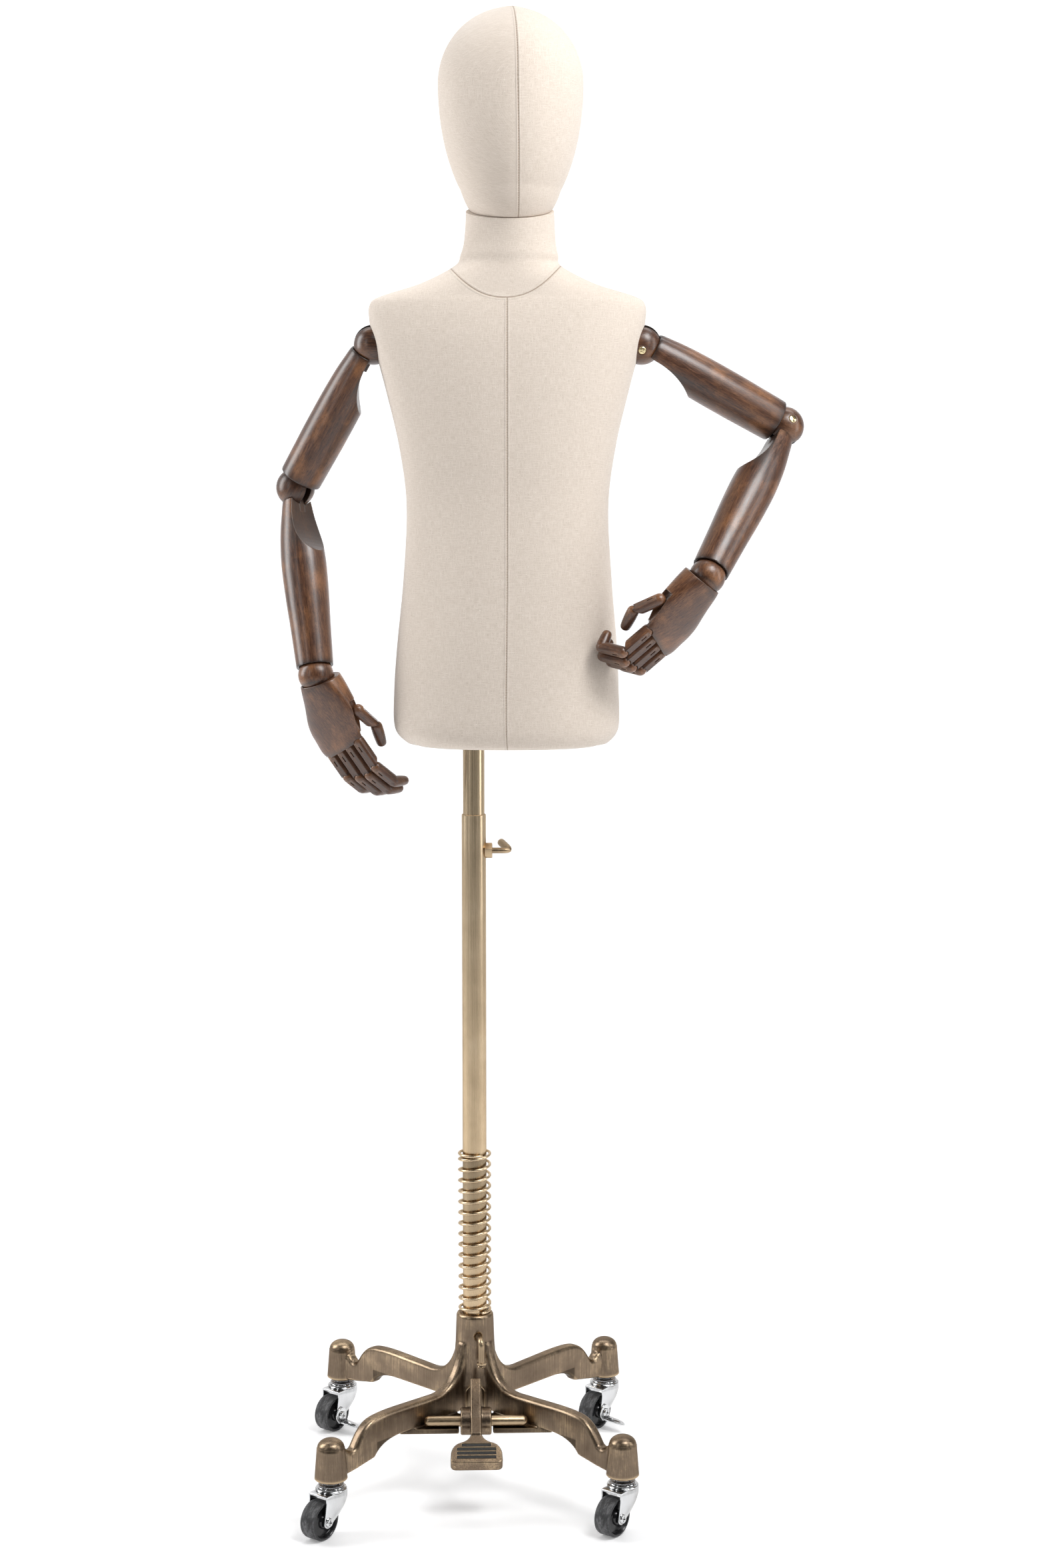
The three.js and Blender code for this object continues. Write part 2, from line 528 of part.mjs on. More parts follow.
// ---------------------------------------------------------------- torso and head
// Sections of the torso from its flat foot to the top of the neck, measured from its own middle.
const TORSO = [
  { z: 783.6, halfWidth: 93, front: 61, back: 63 },
  { z: 786, halfWidth: 102, front: 71, back: 74 },
  { z: 801, halfWidth: 112.6, x: -1, front: 79, back: 83 },
  { z: 838, halfWidth: 112.8, x: -1.2, front: 80, back: 84 },
  { z: 885, halfWidth: 110, x: -0.6, front: 79, back: 80 },
  { z: 950, halfWidth: 104, front: 73, back: 67 },
  { z: 1025, halfWidth: 100.3, front: 67, back: 58 },
  { z: 1085, halfWidth: 107.5, front: 69, back: 61.5 },
  { z: 1145, halfWidth: 121.5, front: 70, back: 67 },
  { z: 1185, halfWidth: 132, front: 67, back: 68 },
  { z: 1210, halfWidth: 136.8, front: 61, back: 66 },
  { z: 1226, halfWidth: 136.4, front: 55, back: 63 },
  { z: 1234, halfWidth: 126, front: 51, back: 59 },
  { z: 1247, halfWidth: 86, front: 47, back: 55 },
  { z: 1264, halfWidth: 53.5, x: 0.5, front: 43, back: 47, power: 2.1 },
  { z: 1275, halfWidth: 48.4, x: 2, y: -2, front: 42, back: 43, power: 2 },
  { z: 1295, halfWidth: 44.6, x: 3, y: -5, front: 41, back: 40, power: 2 },
  { z: 1350, halfWidth: 42.4, x: 4, y: -16, front: 41, back: 40, power: 2 },
];

function torsoLoft(grow, footDrop) {
  const rings = TORSO.map((section, i) => {
    const z = section.z - (i === 0 ? footDrop : 0);
    const wide = { halfWidth: section.halfWidth + grow, front: section.front + grow, back: section.back + grow };
    return ovalRing({ ...section, ...wide, z, x: TORSO_X + (section.x ?? 0), y: section.y ?? 0 });
  });
  return solid(loft(rings));
}

// The half-space above the neck joint's slanting plane, lifted by rise, and its mirror below.
function aboveNeck(rise) {
  return solid(block([-300, 300], [-300, 300], [0, 400]))
    .rotate([NECK_TOP.tilt / DEGREE, 0, 0])
    .translate(NECK_TOP.x, NECK_TOP.y, NECK_TOP.z + rise);
}

function belowNeck(rise) {
  return solid(block([-300, 300], [-300, 300], [-400, 0]))
    .rotate([NECK_TOP.tilt / DEGREE, 0, 0])
    .translate(NECK_TOP.x, NECK_TOP.y, NECK_TOP.z + rise);
}

// Turns an upright piece about the neck joint's slanting axis.
function onNeck(made) {
  return made.rotate([NECK_TOP.tilt / DEGREE, 0, 0]).translate(NECK_TOP.x, NECK_TOP.y, NECK_TOP.z);
}

function shoulderRoom(side) {
  const room = BALL.radius + SEAT_GAP;
  return solid(ball(room, FACETS.seat).rotateY(Math.PI / 2)).translate(TORSO_X + side * SHOULDER.x, SHOULDER.y, SHOULDER.z);
}

function torso(parent) {
  const poleBore = solid(rod(SOCKET.radius + GAP, 700, SOCKET.top + GAP, FACETS.pole));
  const pegBores = [-1, 1].map((side) =>
    solid(rod(BALL.pegRadius + GAP, 0, BALL.pegReach + 1).rotateY((-side * Math.PI) / 2)).translate(
      TORSO_X + side * SHOULDER.x,
      SHOULDER.y,
      SHOULDER.z,
    ),
  );
  const rooms = [shoulderRoom(-1), shoulderRoom(1)];
  const neckBore = onNeck(solid(rod(8 + GAP, -30, 30, FACETS.limb)));
  const form = cut(torsoLoft(0, 0), [aboveNeck(0), poleBore, neckBore, ...pegBores, ...rooms]);
  addMesh(parent, "torso_form", form, "foam");
  const cover = cut(torsoLoft(GAP + LINEN, GAP + LINEN), [torsoLoft(GAP, GAP), aboveNeck(0), poleBore, ...rooms]);
  addMesh(parent, "torso_cover", cover, "linen");
  poleSocket(parent);
  addMesh(parent, "neck_peg", onNeck(solid(rod(8, -28, 26, FACETS.limb))), "wood");
}

// An egg with separate heights above and below its widest ring, fuller at the back.
function egg(grow) {
  const rings = [];
  const bands = 9;
  for (let k = 0; k <= bands; k++) {
    const climb = -Math.PI / 2 + 0.12 + (k / bands) * (Math.PI - 0.2);
    const height = Math.sin(climb);
    const share = Math.cos(climb);
    rings.push(
      ovalRing({
        x: HEAD.x,
        y: HEAD.y - 3 * height,
        z: HEAD.widest + height * ((height < 0 ? HEAD.below : HEAD.above) + grow),
        halfWidth: (HEAD.halfWidth + grow) * share,
        front: (HEAD.front + grow) * share,
        back: (HEAD.back + grow) * share,
        power: 2,
      }, FACETS.head),
    );
  }
  return solid(loft(rings));
}

function head(parent) {
  const pegBore = onNeck(solid(rod(8 + GAP, -30, 27, FACETS.limb)));
  const pivot = frameGroup(
    parent, "pivot_head_swivel", [NECK_TOP.x, NECK_TOP.y, NECK_TOP.z],
    [0, -Math.sin(NECK_TOP.tilt), Math.cos(NECK_TOP.tilt)], [0, 1, 0],
  );
  pivot.updateMatrixWorld(true);
  const back = pivot.matrixWorld.clone().invert();
  const form = geometryOf(cut(egg(0), [belowNeck(0.6), pegBore])).applyMatrix4(back);
  const shell = geometryOf(cut(egg(GAP + LINEN), [egg(GAP), belowNeck(0.6)])).applyMatrix4(back);
  addMesh(pivot, "head_form", form, "foam");
  addMesh(pivot, "head_cover", shell, "linen");
}

// ---------------------------------------------------------------- arms
// The slotted wooden ball of a shoulder or elbow: its peg runs back along -Z, the slot lies in the
// X-Z plane and opens over the front half.
function slottedBall() {
  const tongueRoom = BALL.tongueRadius + 2 * GAP;
  const slot = solid(block([-25, 25], [-BALL.slot, BALL.slot], [-tongueRoom, 25]));
  const peg = solid(rod(BALL.pegRadius, -BALL.pegReach + 1, -BALL.radius + 3));
  return solid(ball(BALL.radius)).subtract(slot).add(peg);
}

// The flat tongue that turns in a ball's slot, reaching forward to where the limb begins.
function tongue(reach) {
  const radius = BALL.tongueRadius - GAP;
  const half = BALL.tongue;
  const disc = solid(rod(radius, -half, half).rotateX(Math.PI / 2));
  return disc.add(solid(block([-radius + 2, radius - 2], [-half, half], [0, reach])));
}

// A limb turned about Z with a round seat over the ball at its top and another at its foot.
function limb(profile, length, topSeat, footSeat) {
  const low = profile[0][1];
  const high = profile[profile.length - 1][1];
  const outline = [[0, low], ...profile, [0, high]];
  return cut(solid(turned(outline)), [
    solid(ball(topSeat, FACETS.seat)),
    solid(ball(footSeat, FACETS.seat)).translate(0, 0, length),
  ]);
}

// A long rounded scoop along the inner side, leaving only the outer half of the limb near its top.
function scoop(depthX, from, to, radius) {
  const middle = (from + to) / 2;
  const tall = (to - from) / 2;
  const arc = new THREE.Shape();
  arc.moveTo(depthX, from);
  arc.lineTo(depthX, middle);
  arc.quadraticCurveTo(depthX + 2, middle + 0.62 * tall, radius + 2, to);
  arc.lineTo(radius + 14, to);
  arc.lineTo(radius + 14, from);
  return solid(plate(arc, -30, 30, 0, 5).rotateX(Math.PI / 2));
}

function upperArm() {
  const { length, topCut, footCut } = UPPER_ARM;
  const profile = [
    [18.2, topCut], [19.6, 24], [21.3, 42], [22.4, 70], [22.6, 105], [22.2, 135], [21.8, length - footCut - 2],
    [21, length - footCut],
  ];
  const seat = BALL.radius + SEAT_GAP;
  const body = limb(profile, length, seat, seat).add(tongue(28));
  const pegBore = solid(rod(BALL.pegRadius + GAP, length - BALL.pegReach, length));
  return cut(body, [scoop(3, -20, 71, 22.5), pegBore]);
}

function forearm() {
  const { length, topCut, footCut } = FOREARM;
  const profile = [
    [14.2, topCut], [17, 26], [20.8, 50], [22.8, 76], [22.9, 96], [22, 122], [20.4, 152], [18.9, length - footCut - 1.5],
    [18.2, length - footCut],
  ];
  const body = limb(profile, length, BALL.radius + SEAT_GAP, WRIST.radius + SEAT_GAP).add(tongue(28));
  const pegBore = solid(rod(WRIST.pegRadius + GAP, length - WRIST.pegReach - 1, length));
  return cut(body, [scoop(6.2, -20, 76, 22.5), pegBore]);
}

// The wrist's ball: its peg runs back into the forearm.
function wristBall() {
  return solid(ball(WRIST.radius)).add(solid(rod(WRIST.pegRadius, -WRIST.pegReach, -WRIST.radius + 3)));
}

// The palm in hand space: X across from index to little finger, Z along the fingers, -Y the back
// of the hand and +Y its palm side. The knuckle line is at Z = 0.
function palm() {
  const wristX = -PALM.offset;
  const sections = [
    { z: -PALM.length + 1, x: wristX, halfWidth: 19, thick: 17.4 },
    { z: -72, x: wristX + 1, halfWidth: PALM.wristHalf + 1, thick: PALM.wristThick },
    { z: -58, x: wristX + 5, halfWidth: 27, thick: 17 },
    { z: -42, x: -12, halfWidth: 32, thick: 15 },
    { z: -31, x: -9, halfWidth: 33.5, thick: 13.6 },
    { z: -22, x: -6, halfWidth: 32, thick: 12.2 },
    { z: -9, x: -0.6, halfWidth: 28.4, thick: 10.2 },
    { z: 0, x: 0, halfWidth: PALM.knuckleHalf, thick: PALM.knuckleThick },
  ];
  const body = solid(
    loft(sections.map(({ z, x, halfWidth, thick }) =>
      ovalRing({ x, z, halfWidth, front: thick, back: thick, power: 2.5 }, FACETS.ball))),
  );
  const along = new THREE.Vector3(PALM.offset, 0, PALM.length).normalize();
  const lean = Math.atan2(along.x, along.z) / DEGREE;
  const wristCut = solid(block([-60, 60], [-60, 60], [-60, WRIST.palmCut]))
    .rotate([0, lean, 0])
    .translate(wristX, 0, -PALM.length);
  const seat = solid(ball(WRIST.radius + SEAT_GAP, FACETS.seat)).translate(wristX, 0, -PALM.length);
  const flexRoom = solid(block([-40, 40], [0.6, 30], [-FINGER.radius - 1, 10]));
  const sockets = FINGERS.map(({ across }) => solid(ball(FINGER.socket, FACETS.fingerSeat)).translate(across, 0, 0));
  const thumbNotch = solid(rod(7.6, -12, 60))
    .rotate([0, 12, 0])
    .translate(THUMB.across, THUMB.palmward, THUMB.along);
  const thumbSeat = solid(ball(7.4, FACETS.fingerSeat)).translate(THUMB.across, THUMB.palmward, THUMB.along);
  return cut(body, [wristCut, seat, flexRoom, ...sockets, thumbNotch, thumbSeat]);
}

// A finger bone along Z: round root at the origin, and at its far end a slanting cut with a round
// seat for the next bone. The cut leans by half of the next joint's travel.
function bone(length, radius, nextRadius, lean) {
  const root = Array.from({ length: 4 }, (_, i) => {
    const angle = (i / 4) * (Math.PI / 2);
    return [radius * Math.sin(angle), -radius * Math.cos(angle)];
  });
  const body = solid(turned([...root, [radius, 0], [radius, length + 4], [0, length + 4]], FACETS.finger));
  const endCut = solid(block([-20, 20], [-20, 20], [-FINGER.endCut, 20])).rotate([-lean, 0, 0]).translate(0, 0, length);
  return cut(body, [endCut, solid(ball(nextRadius + 0.8, FACETS.fingerSeat)).translate(0, 0, length)]);
}

// The rounded last bone of a finger or thumb.
function tipBone(length, radius) {
  const end = radius * FINGER.tipTaper;
  const profile = [
    [0, -radius], [radius * 0.5, -radius * 0.87], [radius * 0.87, -radius * 0.5], [radius, 0], [radius, length * 0.35],
    [end, length - end * 0.8], [end * 0.7, length - end * 0.2], [0, length],
  ];
  return solid(turned(profile, FACETS.finger));
}

// The middle and last bones of a finger, fixed to each other at their resting bend.
function outerFinger({ middle, distal }, distalBend) {
  const radius = FINGER.radius - 0.3;
  const first = solid(turned([
    [0, -radius], [radius * 0.5, -radius * 0.87], [radius * 0.87, -radius * 0.5], [radius, 0], [radius, middle], [0, middle],
  ], FACETS.finger));
  const trimmed = first.subtract(
    solid(block([-20, 20], [-20, 20], [-1.5, 20])).rotate([-distalBend / 2, 0, 0]).translate(0, 0, middle),
  );
  return trimmed.add(tipBone(distal, radius - 0.3).rotate([-distalBend, 0, 0]).translate(0, 0, middle));
}

function hand(parent, tag, arm) {
  const wrist = frameGroup(parent, `pivot_wrist_bend_${tag}`, [0, 0, 0], arm.along, palmSide(arm));
  const space = new THREE.Group();
  space.name = `frame_hand_${tag}`;
  space.position.set(PALM.offset, 0, PALM.length);
  wrist.add(space);
  // The hand is modelled for one side; the other side mirrors it across its own X axis.
  const flip = (made) => (arm.side < 0 ? made : made.mirror([1, 0, 0]));
  const flipX = (x) => (arm.side < 0 ? x : -x);
  space.position.x = flipX(PALM.offset);
  addMesh(space, `palm_${tag}`, flip(palm()), "wood");
  for (const finger of FINGERS) {
    const knuckle = new THREE.Group();
    knuckle.name = `pivot_knuckle_${finger.name}_${tag}`;
    knuckle.position.x = flipX(finger.across);
    space.add(knuckle);
    const proximal = bone(finger.proximal, FINGER.radius, FINGER.radius - 0.3, 42);
    addMesh(knuckle, `finger_${finger.name}_inner_${tag}`, proximal, "wood");
    const middle = new THREE.Group();
    middle.name = `pivot_middle_${finger.name}_${tag}`;
    middle.position.z = finger.proximal;
    middle.rotation.x = -arm.middleBend * DEGREE;
    knuckle.add(middle);
    addMesh(middle, `finger_${finger.name}_outer_${tag}`, outerFinger(finger, arm.distalBend), "wood");
  }
  const mirrored = ([x, z, y]) => [flipX(x), y, z];
  const start = mirrored(THUMB.direction);
  const bent = mirrored(arm.thumbBend);
  const pin = new THREE.Vector3(...start).cross(new THREE.Vector3(...bent)).normalize();
  const origin = [flipX(THUMB.across), THUMB.palmward, THUMB.along];
  const base = frameGroup(space, `pivot_thumb_base_${tag}`, origin, start, pin.toArray());
  const turn = Math.acos(
    THREE.MathUtils.clamp(new THREE.Vector3(...start).normalize().dot(new THREE.Vector3(...bent).normalize()), -1, 1),
  );
  const inner = bone(THUMB.proximal, FINGER.radius, FINGER.radius - 0.3, 38).rotate([0, 0, -90]);
  addMesh(base, `thumb_inner_${tag}`, inner, "wood");
  const tip = new THREE.Group();
  tip.name = `pivot_thumb_tip_${tag}`;
  tip.position.z = THUMB.proximal;
  tip.rotation.y = turn;
  base.add(tip);
  addMesh(tip, `thumb_outer_${tag}`, tipBone(THUMB.distal, FINGER.radius - 0.3), "wood");
}

// The palm side's direction: square to the fingers and to the knuckle line.
function palmSide(arm) {
  const across = new THREE.Vector3(...arm.across);
  const along = new THREE.Vector3(...arm.along);
  const square = new THREE.Vector3().crossVectors(across, along).normalize();
  return square.multiplyScalar(arm.side).toArray();
}

// Each joint's parts hang in their own frame, whose Z axis runs down the limb and Y axis is the pin.
function armChain(parent, tag) {
  const arm = ARMS[tag];
  const shoulderPoint = [TORSO_X + arm.side * SHOULDER.x, SHOULDER.y, SHOULDER.z];
  const outward = [arm.side, 0, 0];
  const cross = (a, b) => new THREE.Vector3(...a).cross(new THREE.Vector3(...b)).normalize().toArray();
  // The pins face so that the frame's +X side is the inner, scooped side.
  const shoulderPin = cross(outward, arm.upper);
  const elbowPin = cross(arm.upper, arm.fore);
  const shoulderBall = frameGroup(parent, `frame_shoulder_ball_${tag}`, shoulderPoint, outward, shoulderPin);
  addMesh(shoulderBall, `shoulder_ball_${tag}`, slottedBall(), "wood");
  const upper = frameGroup(parent, `pivot_shoulder_lift_${tag}`, shoulderPoint, arm.upper, shoulderPin);
  addMesh(upper, `upper_arm_${tag}`, upperArm(), "wood");
  const elbowPoint = along(shoulderPoint, arm.upper, UPPER_ARM.length);
  const elbow = frameGroup(parent, `frame_elbow_ball_${tag}`, elbowPoint, arm.upper, elbowPin);
  addMesh(elbow, `elbow_ball_${tag}`, slottedBall(), "wood");
  const fore = frameGroup(parent, `pivot_elbow_bend_${tag}`, elbowPoint, arm.fore, elbowPin);
  addMesh(fore, `forearm_${tag}`, forearm(), "wood");
  const wristPoint = along(elbowPoint, arm.fore, FOREARM.length);
  const wrist = frameGroup(parent, `frame_wrist_ball_${tag}`, wristPoint, arm.fore, palmSide(arm));
  addMesh(wrist, `wrist_ball_${tag}`, wristBall(), "wood");
  const handRoot = new THREE.Group();
  handRoot.name = `frame_wrist_${tag}`;
  handRoot.position.set(...wristPoint);
  parent.add(handRoot);
  hand(handRoot, tag, arm);
}

function along(point, direction, distance) {
  const unit = new THREE.Vector3(...direction).normalize().multiplyScalar(distance);
  return unit.add(new THREE.Vector3(...point)).toArray();
}

// ---------------------------------------------------------------- assembly
const base = new THREE.Group();
base.name = "frame_base";
const castBase = new THREE.Group();
castBase.name = "frame_cast_base";
castBase.rotation.z = BASE_TURN;
group.add(base);
base.add(castBase);
baseCasting(castBase);
pedalShaft(castBase);
pedal(castBase);
hubScrew(castBase);
casters(base);
spring(base);
lowerPole(base);
poleScrew(base);
upperPole(base);
torso(base);
head(base);
armChain(base, "left");
armChain(base, "right");

// Stand the middle of the footprint box on the origin.
group.updateMatrixWorld(true);
const bounds = new THREE.Box3().setFromObject(group, true);
base.position.set(-(bounds.min.x + bounds.max.x) / 2, -(bounds.min.y + bounds.max.y) / 2, -bounds.min.z);

export default group;
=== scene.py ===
"""Looks for the display mannequin: each piece is built in its joint's own frame, and rides on its CAD body.

Shapes are worked out in millimetres and stored in metres. The pole's axis and the floor of the
layout come from the record's joints, so every piece lands where the CAD says.
"""

import json
import math
from types import SimpleNamespace as Sizes

import bpy
import numpy as np
from mathutils import Matrix, Vector


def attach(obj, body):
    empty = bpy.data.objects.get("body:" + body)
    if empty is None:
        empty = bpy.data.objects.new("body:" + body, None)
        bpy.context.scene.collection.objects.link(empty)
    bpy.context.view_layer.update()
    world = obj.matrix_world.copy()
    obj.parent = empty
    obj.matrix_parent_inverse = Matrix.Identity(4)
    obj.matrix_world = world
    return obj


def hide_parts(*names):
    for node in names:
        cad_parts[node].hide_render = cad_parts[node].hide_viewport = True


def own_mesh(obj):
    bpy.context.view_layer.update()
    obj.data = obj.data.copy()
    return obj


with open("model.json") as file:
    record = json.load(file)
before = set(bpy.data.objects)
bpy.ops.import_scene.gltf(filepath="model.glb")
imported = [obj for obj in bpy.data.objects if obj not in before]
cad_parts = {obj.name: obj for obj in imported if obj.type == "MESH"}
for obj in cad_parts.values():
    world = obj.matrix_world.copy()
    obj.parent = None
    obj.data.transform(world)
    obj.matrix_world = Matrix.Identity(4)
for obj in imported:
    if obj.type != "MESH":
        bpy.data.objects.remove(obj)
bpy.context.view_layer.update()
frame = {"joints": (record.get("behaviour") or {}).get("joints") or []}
JOINTS = {joint["name"]: joint for joint in frame["joints"]}
MM = 0.001

# ---------------------------------------------------------------- driving dimensions, in millimetres
POLE_SCREW_Z = 672  # height of the pole's clamping screw in the layout
BASE_TURN = math.radians(1.8)
HUB = Sizes(top=181, foot=79, top_radius=19.5, foot_radius=22.5, flare=25, bore=12.8)
LEG = Sizes(reach=207, half=7, under=80.5, crest=108, notch=184, notch_top=80, cap_foot=58.5, round=4.6)
CAP = Sizes(foot_radius=16.4, rim_radius=13.9, rim=91, top=100.5, bore=5.6, bore_top=88)
GUSSET = Sizes(low=75.2, high=80.7, back=30, front=74.5)
SHAFT = Sizes(y=-68, z=86.6, radius=5.5, half=53, bevel=4)
PEDAL = Sizes(arm_half=5.5, boss_radius=14, boss_half=16, tilt=30, half=26, length=38, thick=13, y=-95,
              z=84.5)
GROOVES = [(-15.5, 15), (-20.5, 20), (-25.5, 20), (-30.5, 20)]  # place along the pad, half length
GROOVE_HALF, GROOVE_DEPTH = 1.9, 1.3
GRIP_HALF, GRIP_THICK, GRIP_DEPTH = 1.8, 1.2, 0.75
HUB_SCREW = Sizes(z=160, turn=math.radians(10), radius=3.2, reach=36, drop=24)
CASTER = Sizes(trail=18, axle_z=21.5, radius=19.5, half=9, axle=3, gap=10.6, thick=1.6, back=20)
STEM = Sizes(radius=5.3, top=86, neck=8.4, neck_foot=52.8, rivet=3.6, rivet_foot=43.6)
SPRING = Sizes(radius=16, wire=1.5, foot=183, top=352, turns=16, keep=(169 - 80) / 169)
LOWER_POLE = Sizes(radius=12.5, inner=11.3, foot=122, top=710)
UPPER_POLE = Sizes(radius=11, foot=560, top=850)
POLE_NUT = Sizes(across=14.7, thick=6.8)
POLE_SCREW = Sizes(radius=3, reach=37, handle=30, swell=1.35)
TORSO_X = 35
COVER = 2.0
NECK_TOP = (38, -10, 1317.2)
NECK_TILT = math.radians(15)
HEAD = Sizes(x=38.5, y=-14, widest=1440, above=71, below=140, half=70.2, front=80, back=84, jaw=0.4)
HEAD_SEAM = Sizes(turn=math.radians(5), sway=4.6, ridge=0.9)
SHOULDER = Sizes(x=135, z=1186.5)
BALL = Sizes(radius=20, slot=3.4, tongue=3, tongue_radius=9, peg=5, peg_reach=42)
SEAT = 0.6
UPPER_ARM = Sizes(length=171, top=12, foot=11)
FOREARM = Sizes(length=200, top=11, foot=9)
WRIST = Sizes(radius=18, cut=6, peg=4.5, peg_reach=30)
PALM = Sizes(length=80, offset=23)
FINGER = Sizes(radius=6.35, socket=7.0, end_cut=4.6, taper=0.82)
FINGERS = {
    "index": Sizes(across=-19.5, inner=33, middle=25, tip=19),
    "middle": Sizes(across=-6.5, inner=36, middle=26, tip=20),
    "ring": Sizes(across=6.5, inner=33, middle=24, tip=19),
    "little": Sizes(across=19.5, inner=27, middle=20, tip=17),
}
THUMB = Sizes(across=-40, palmward=3, along=-27, inner=30, tip=24)
HANDS = {
    "left": Sizes(middle_bend=24, tip_bend=42, thumb_bend=26.1),
    "right": Sizes(middle_bend=65, tip_bend=84, thumb_bend=39.0),
}
CORNERS = ("rr", "rl", "fl", "fr")
CASTER_TURN = math.radians(-127) + math.pi
CAMERA = Sizes(place=(50.2, -2605, 1059), pitch=6.96, lens=58.6)
STAGE = Sizes(front=-6.0, bend=1.6, top=7.0, half=9.0)  # in metres

POLE = Vector(JOINTS["pole_screw_turn"]["pos_m"]) - Vector((0, 0, POLE_SCREW_Z * MM))
ANY_WAY = (0.31, 0.52, 0.79)  # a direction that no swept bar starts along


# ---------------------------------------------------------------- frames
def point(joint):
    return Vector(JOINTS[joint]["pos_m"])


def axis(joint):
    return Vector(JOINTS[joint]["axis"])


def frame_at(origin, along, pin):
    """A frame whose Z runs along a piece and whose Y is its pin, at an origin in metres."""
    z = along.normalized()
    y = (pin - z * pin.dot(z)).normalized()
    x = y.cross(z)
    turn = Matrix((x, y, z)).transposed().to_4x4()
    return Matrix.Translation(origin) @ turn


def pole_frame(x=0, y=0, z=0, turn=0):
    """A frame in the layout about the pole's axis, in millimetres."""
    return Matrix.Translation(POLE + Vector((x, y, z)) * MM) @ Matrix.Rotation(turn, 4, "Z")


def turned_about(angle, letter):
    return Matrix.Rotation(math.radians(angle), 4, letter)


def shifted(x, y, z):
    return Matrix.Translation((x, y, z))


# ---------------------------------------------------------------- shapes: (points, faces) in millimetres
def moved(shape, matrix):
    points, faces = shape
    m = np.array(matrix)
    return points @ m[:3, :3].T + m[:3, 3], faces


def turned(profile, segments=72):
    """A [radius, height] profile turned about Z. It starts and ends on the axis, or closes on itself."""
    closed = tuple(profile[0]) == tuple(profile[-1])
    outline = profile[:-1] if closed else profile
    angles = np.linspace(0, 2 * math.pi, segments, endpoint=False)
    points, rings, faces = [], [], []
    for radius, height in outline:
        if radius < 1e-6:
            rings.append([len(points)])
            points.append((0, 0, height))
        else:
            rings.append(list(range(len(points), len(points) + segments)))
            points += [(radius * math.cos(a), radius * math.sin(a), height) for a in angles]
    pairs = list(zip(rings, rings[1:] + ([rings[0]] if closed else [])))
    for low, high in pairs[: len(rings) if closed else len(rings) - 1]:
        if len(low) == len(high) == 1:
            continue
        for i in range(segments):
            j = (i + 1) % segments
            if len(low) == 1:
                faces.append([low[0], high[j], high[i]])
            elif len(high) == 1:
                faces.append([low[i], low[j], high[0]])
            else:
                faces.append([low[i], low[j], high[j], high[i]])
    return outward((np.array(points, float), faces))


def outward(shape):
    """Turns the faces round if the shape is inside out."""
    points, faces = shape
    volume = 0.0
    for face in faces:
        a = points[face[0]]
        for i in range(1, len(face) - 1):
            volume += np.dot(a, np.cross(points[face[i]], points[face[i + 1]]))
    return (points, faces) if volume > 0 else (points, [face[::-1] for face in faces])


def lofted(rings):
    """Rings of equal point count skinned into one body, closed by one face at each end."""
    rings = [np.asarray(ring, float) for ring in rings]
    count, top = len(rings[0]), (len(rings) - 1) * len(rings[0])
    faces = [list(range(count))[::-1], list(range(top, top + count))]
    for k in range(len(rings) - 1):
        for i in range(count):
            j = (i + 1) % count
            faces.append([k * count + i, k * count + j, (k + 1) * count + j, (k + 1) * count + i])
    return outward((np.vstack(rings), faces))


def box(x, y, z):
    corners = [(a, b, c) for c in z for b in y for a in x]
    faces = [[0, 2, 3, 1], [4, 5, 7, 6], [0, 1, 5, 4], [2, 6, 7, 3], [0, 4, 6, 2], [1, 3, 7, 5]]
    return outward((np.array(corners, float), faces))


def ball(radius, segments=64):
    half = segments // 2
    bearings = [math.pi * k / half for k in range(1, half)]
    arc = [(radius * math.sin(a), -radius * math.cos(a)) for a in bearings]
    return turned([(0, -radius), *arc, (0, radius)], segments)


def rod(radius, low, high, segments=48, chamfer=0.0):
    profile = [(0, low), (radius - chamfer, low), (radius, low + chamfer), (radius, high - chamfer)]
    return turned(profile + [(radius - chamfer, high), (0, high)] if chamfer else
                  [(0, low), (radius, low), (radius, high), (0, high)], segments)


def pillow(outline, half, radius, share=lambda points: 1.0, steps=4):
    """An outline pushed from -half to half along Z, its edges rounded inwards by a share of radius."""
    outline = np.asarray(outline, float)
    ahead = np.roll(outline, -1, 0) - outline
    behind = outline - np.roll(outline, 1, 0)
    tangent = ahead / (np.linalg.norm(ahead, axis=1)[:, None] + 1e-9)
    tangent = tangent + behind / (np.linalg.norm(behind, axis=1)[:, None] + 1e-9)
    tangent /= np.linalg.norm(tangent, axis=1)[:, None] + 1e-9
    area = np.sum(outline[:, 0] * np.roll(outline[:, 1], -1) - np.roll(outline[:, 0], -1) * outline[:, 1])
    inward = np.stack([-tangent[:, 1], tangent[:, 0]], 1) * (1 if area > 0 else -1)
    inward = inward * np.reshape(share(outline), (-1, 1))
    climbs = np.linspace(math.pi / 2, 0, steps + 1)
    layers = [(half - radius + radius * math.sin(c), radius * (1 - math.cos(c))) for c in climbs]
    layers = [(-z, inset) for z, inset in layers] + [(z, inset) for z, inset in reversed(layers)]
    return lofted([at_height(outline + inward * inset, z) for z, inset in layers])


def at_height(outline, z):
    """A flat outline's points, all at one height."""
    return np.column_stack([outline, np.full(len(outline), z)])


def prism(outline, low, high):
    return lofted([at_height(np.asarray(outline, float), z) for z in (low, high)])


def upright(shape):
    """An outline drawn as X against height, pushed along Y."""
    return moved(shape, Matrix.Rotation(math.pi / 2, 4, "X"))


def side_on(shape):
    """An outline drawn as Y against height, pushed along X."""
    points, faces = shape
    return outward((points[:, [2, 0, 1]], faces))


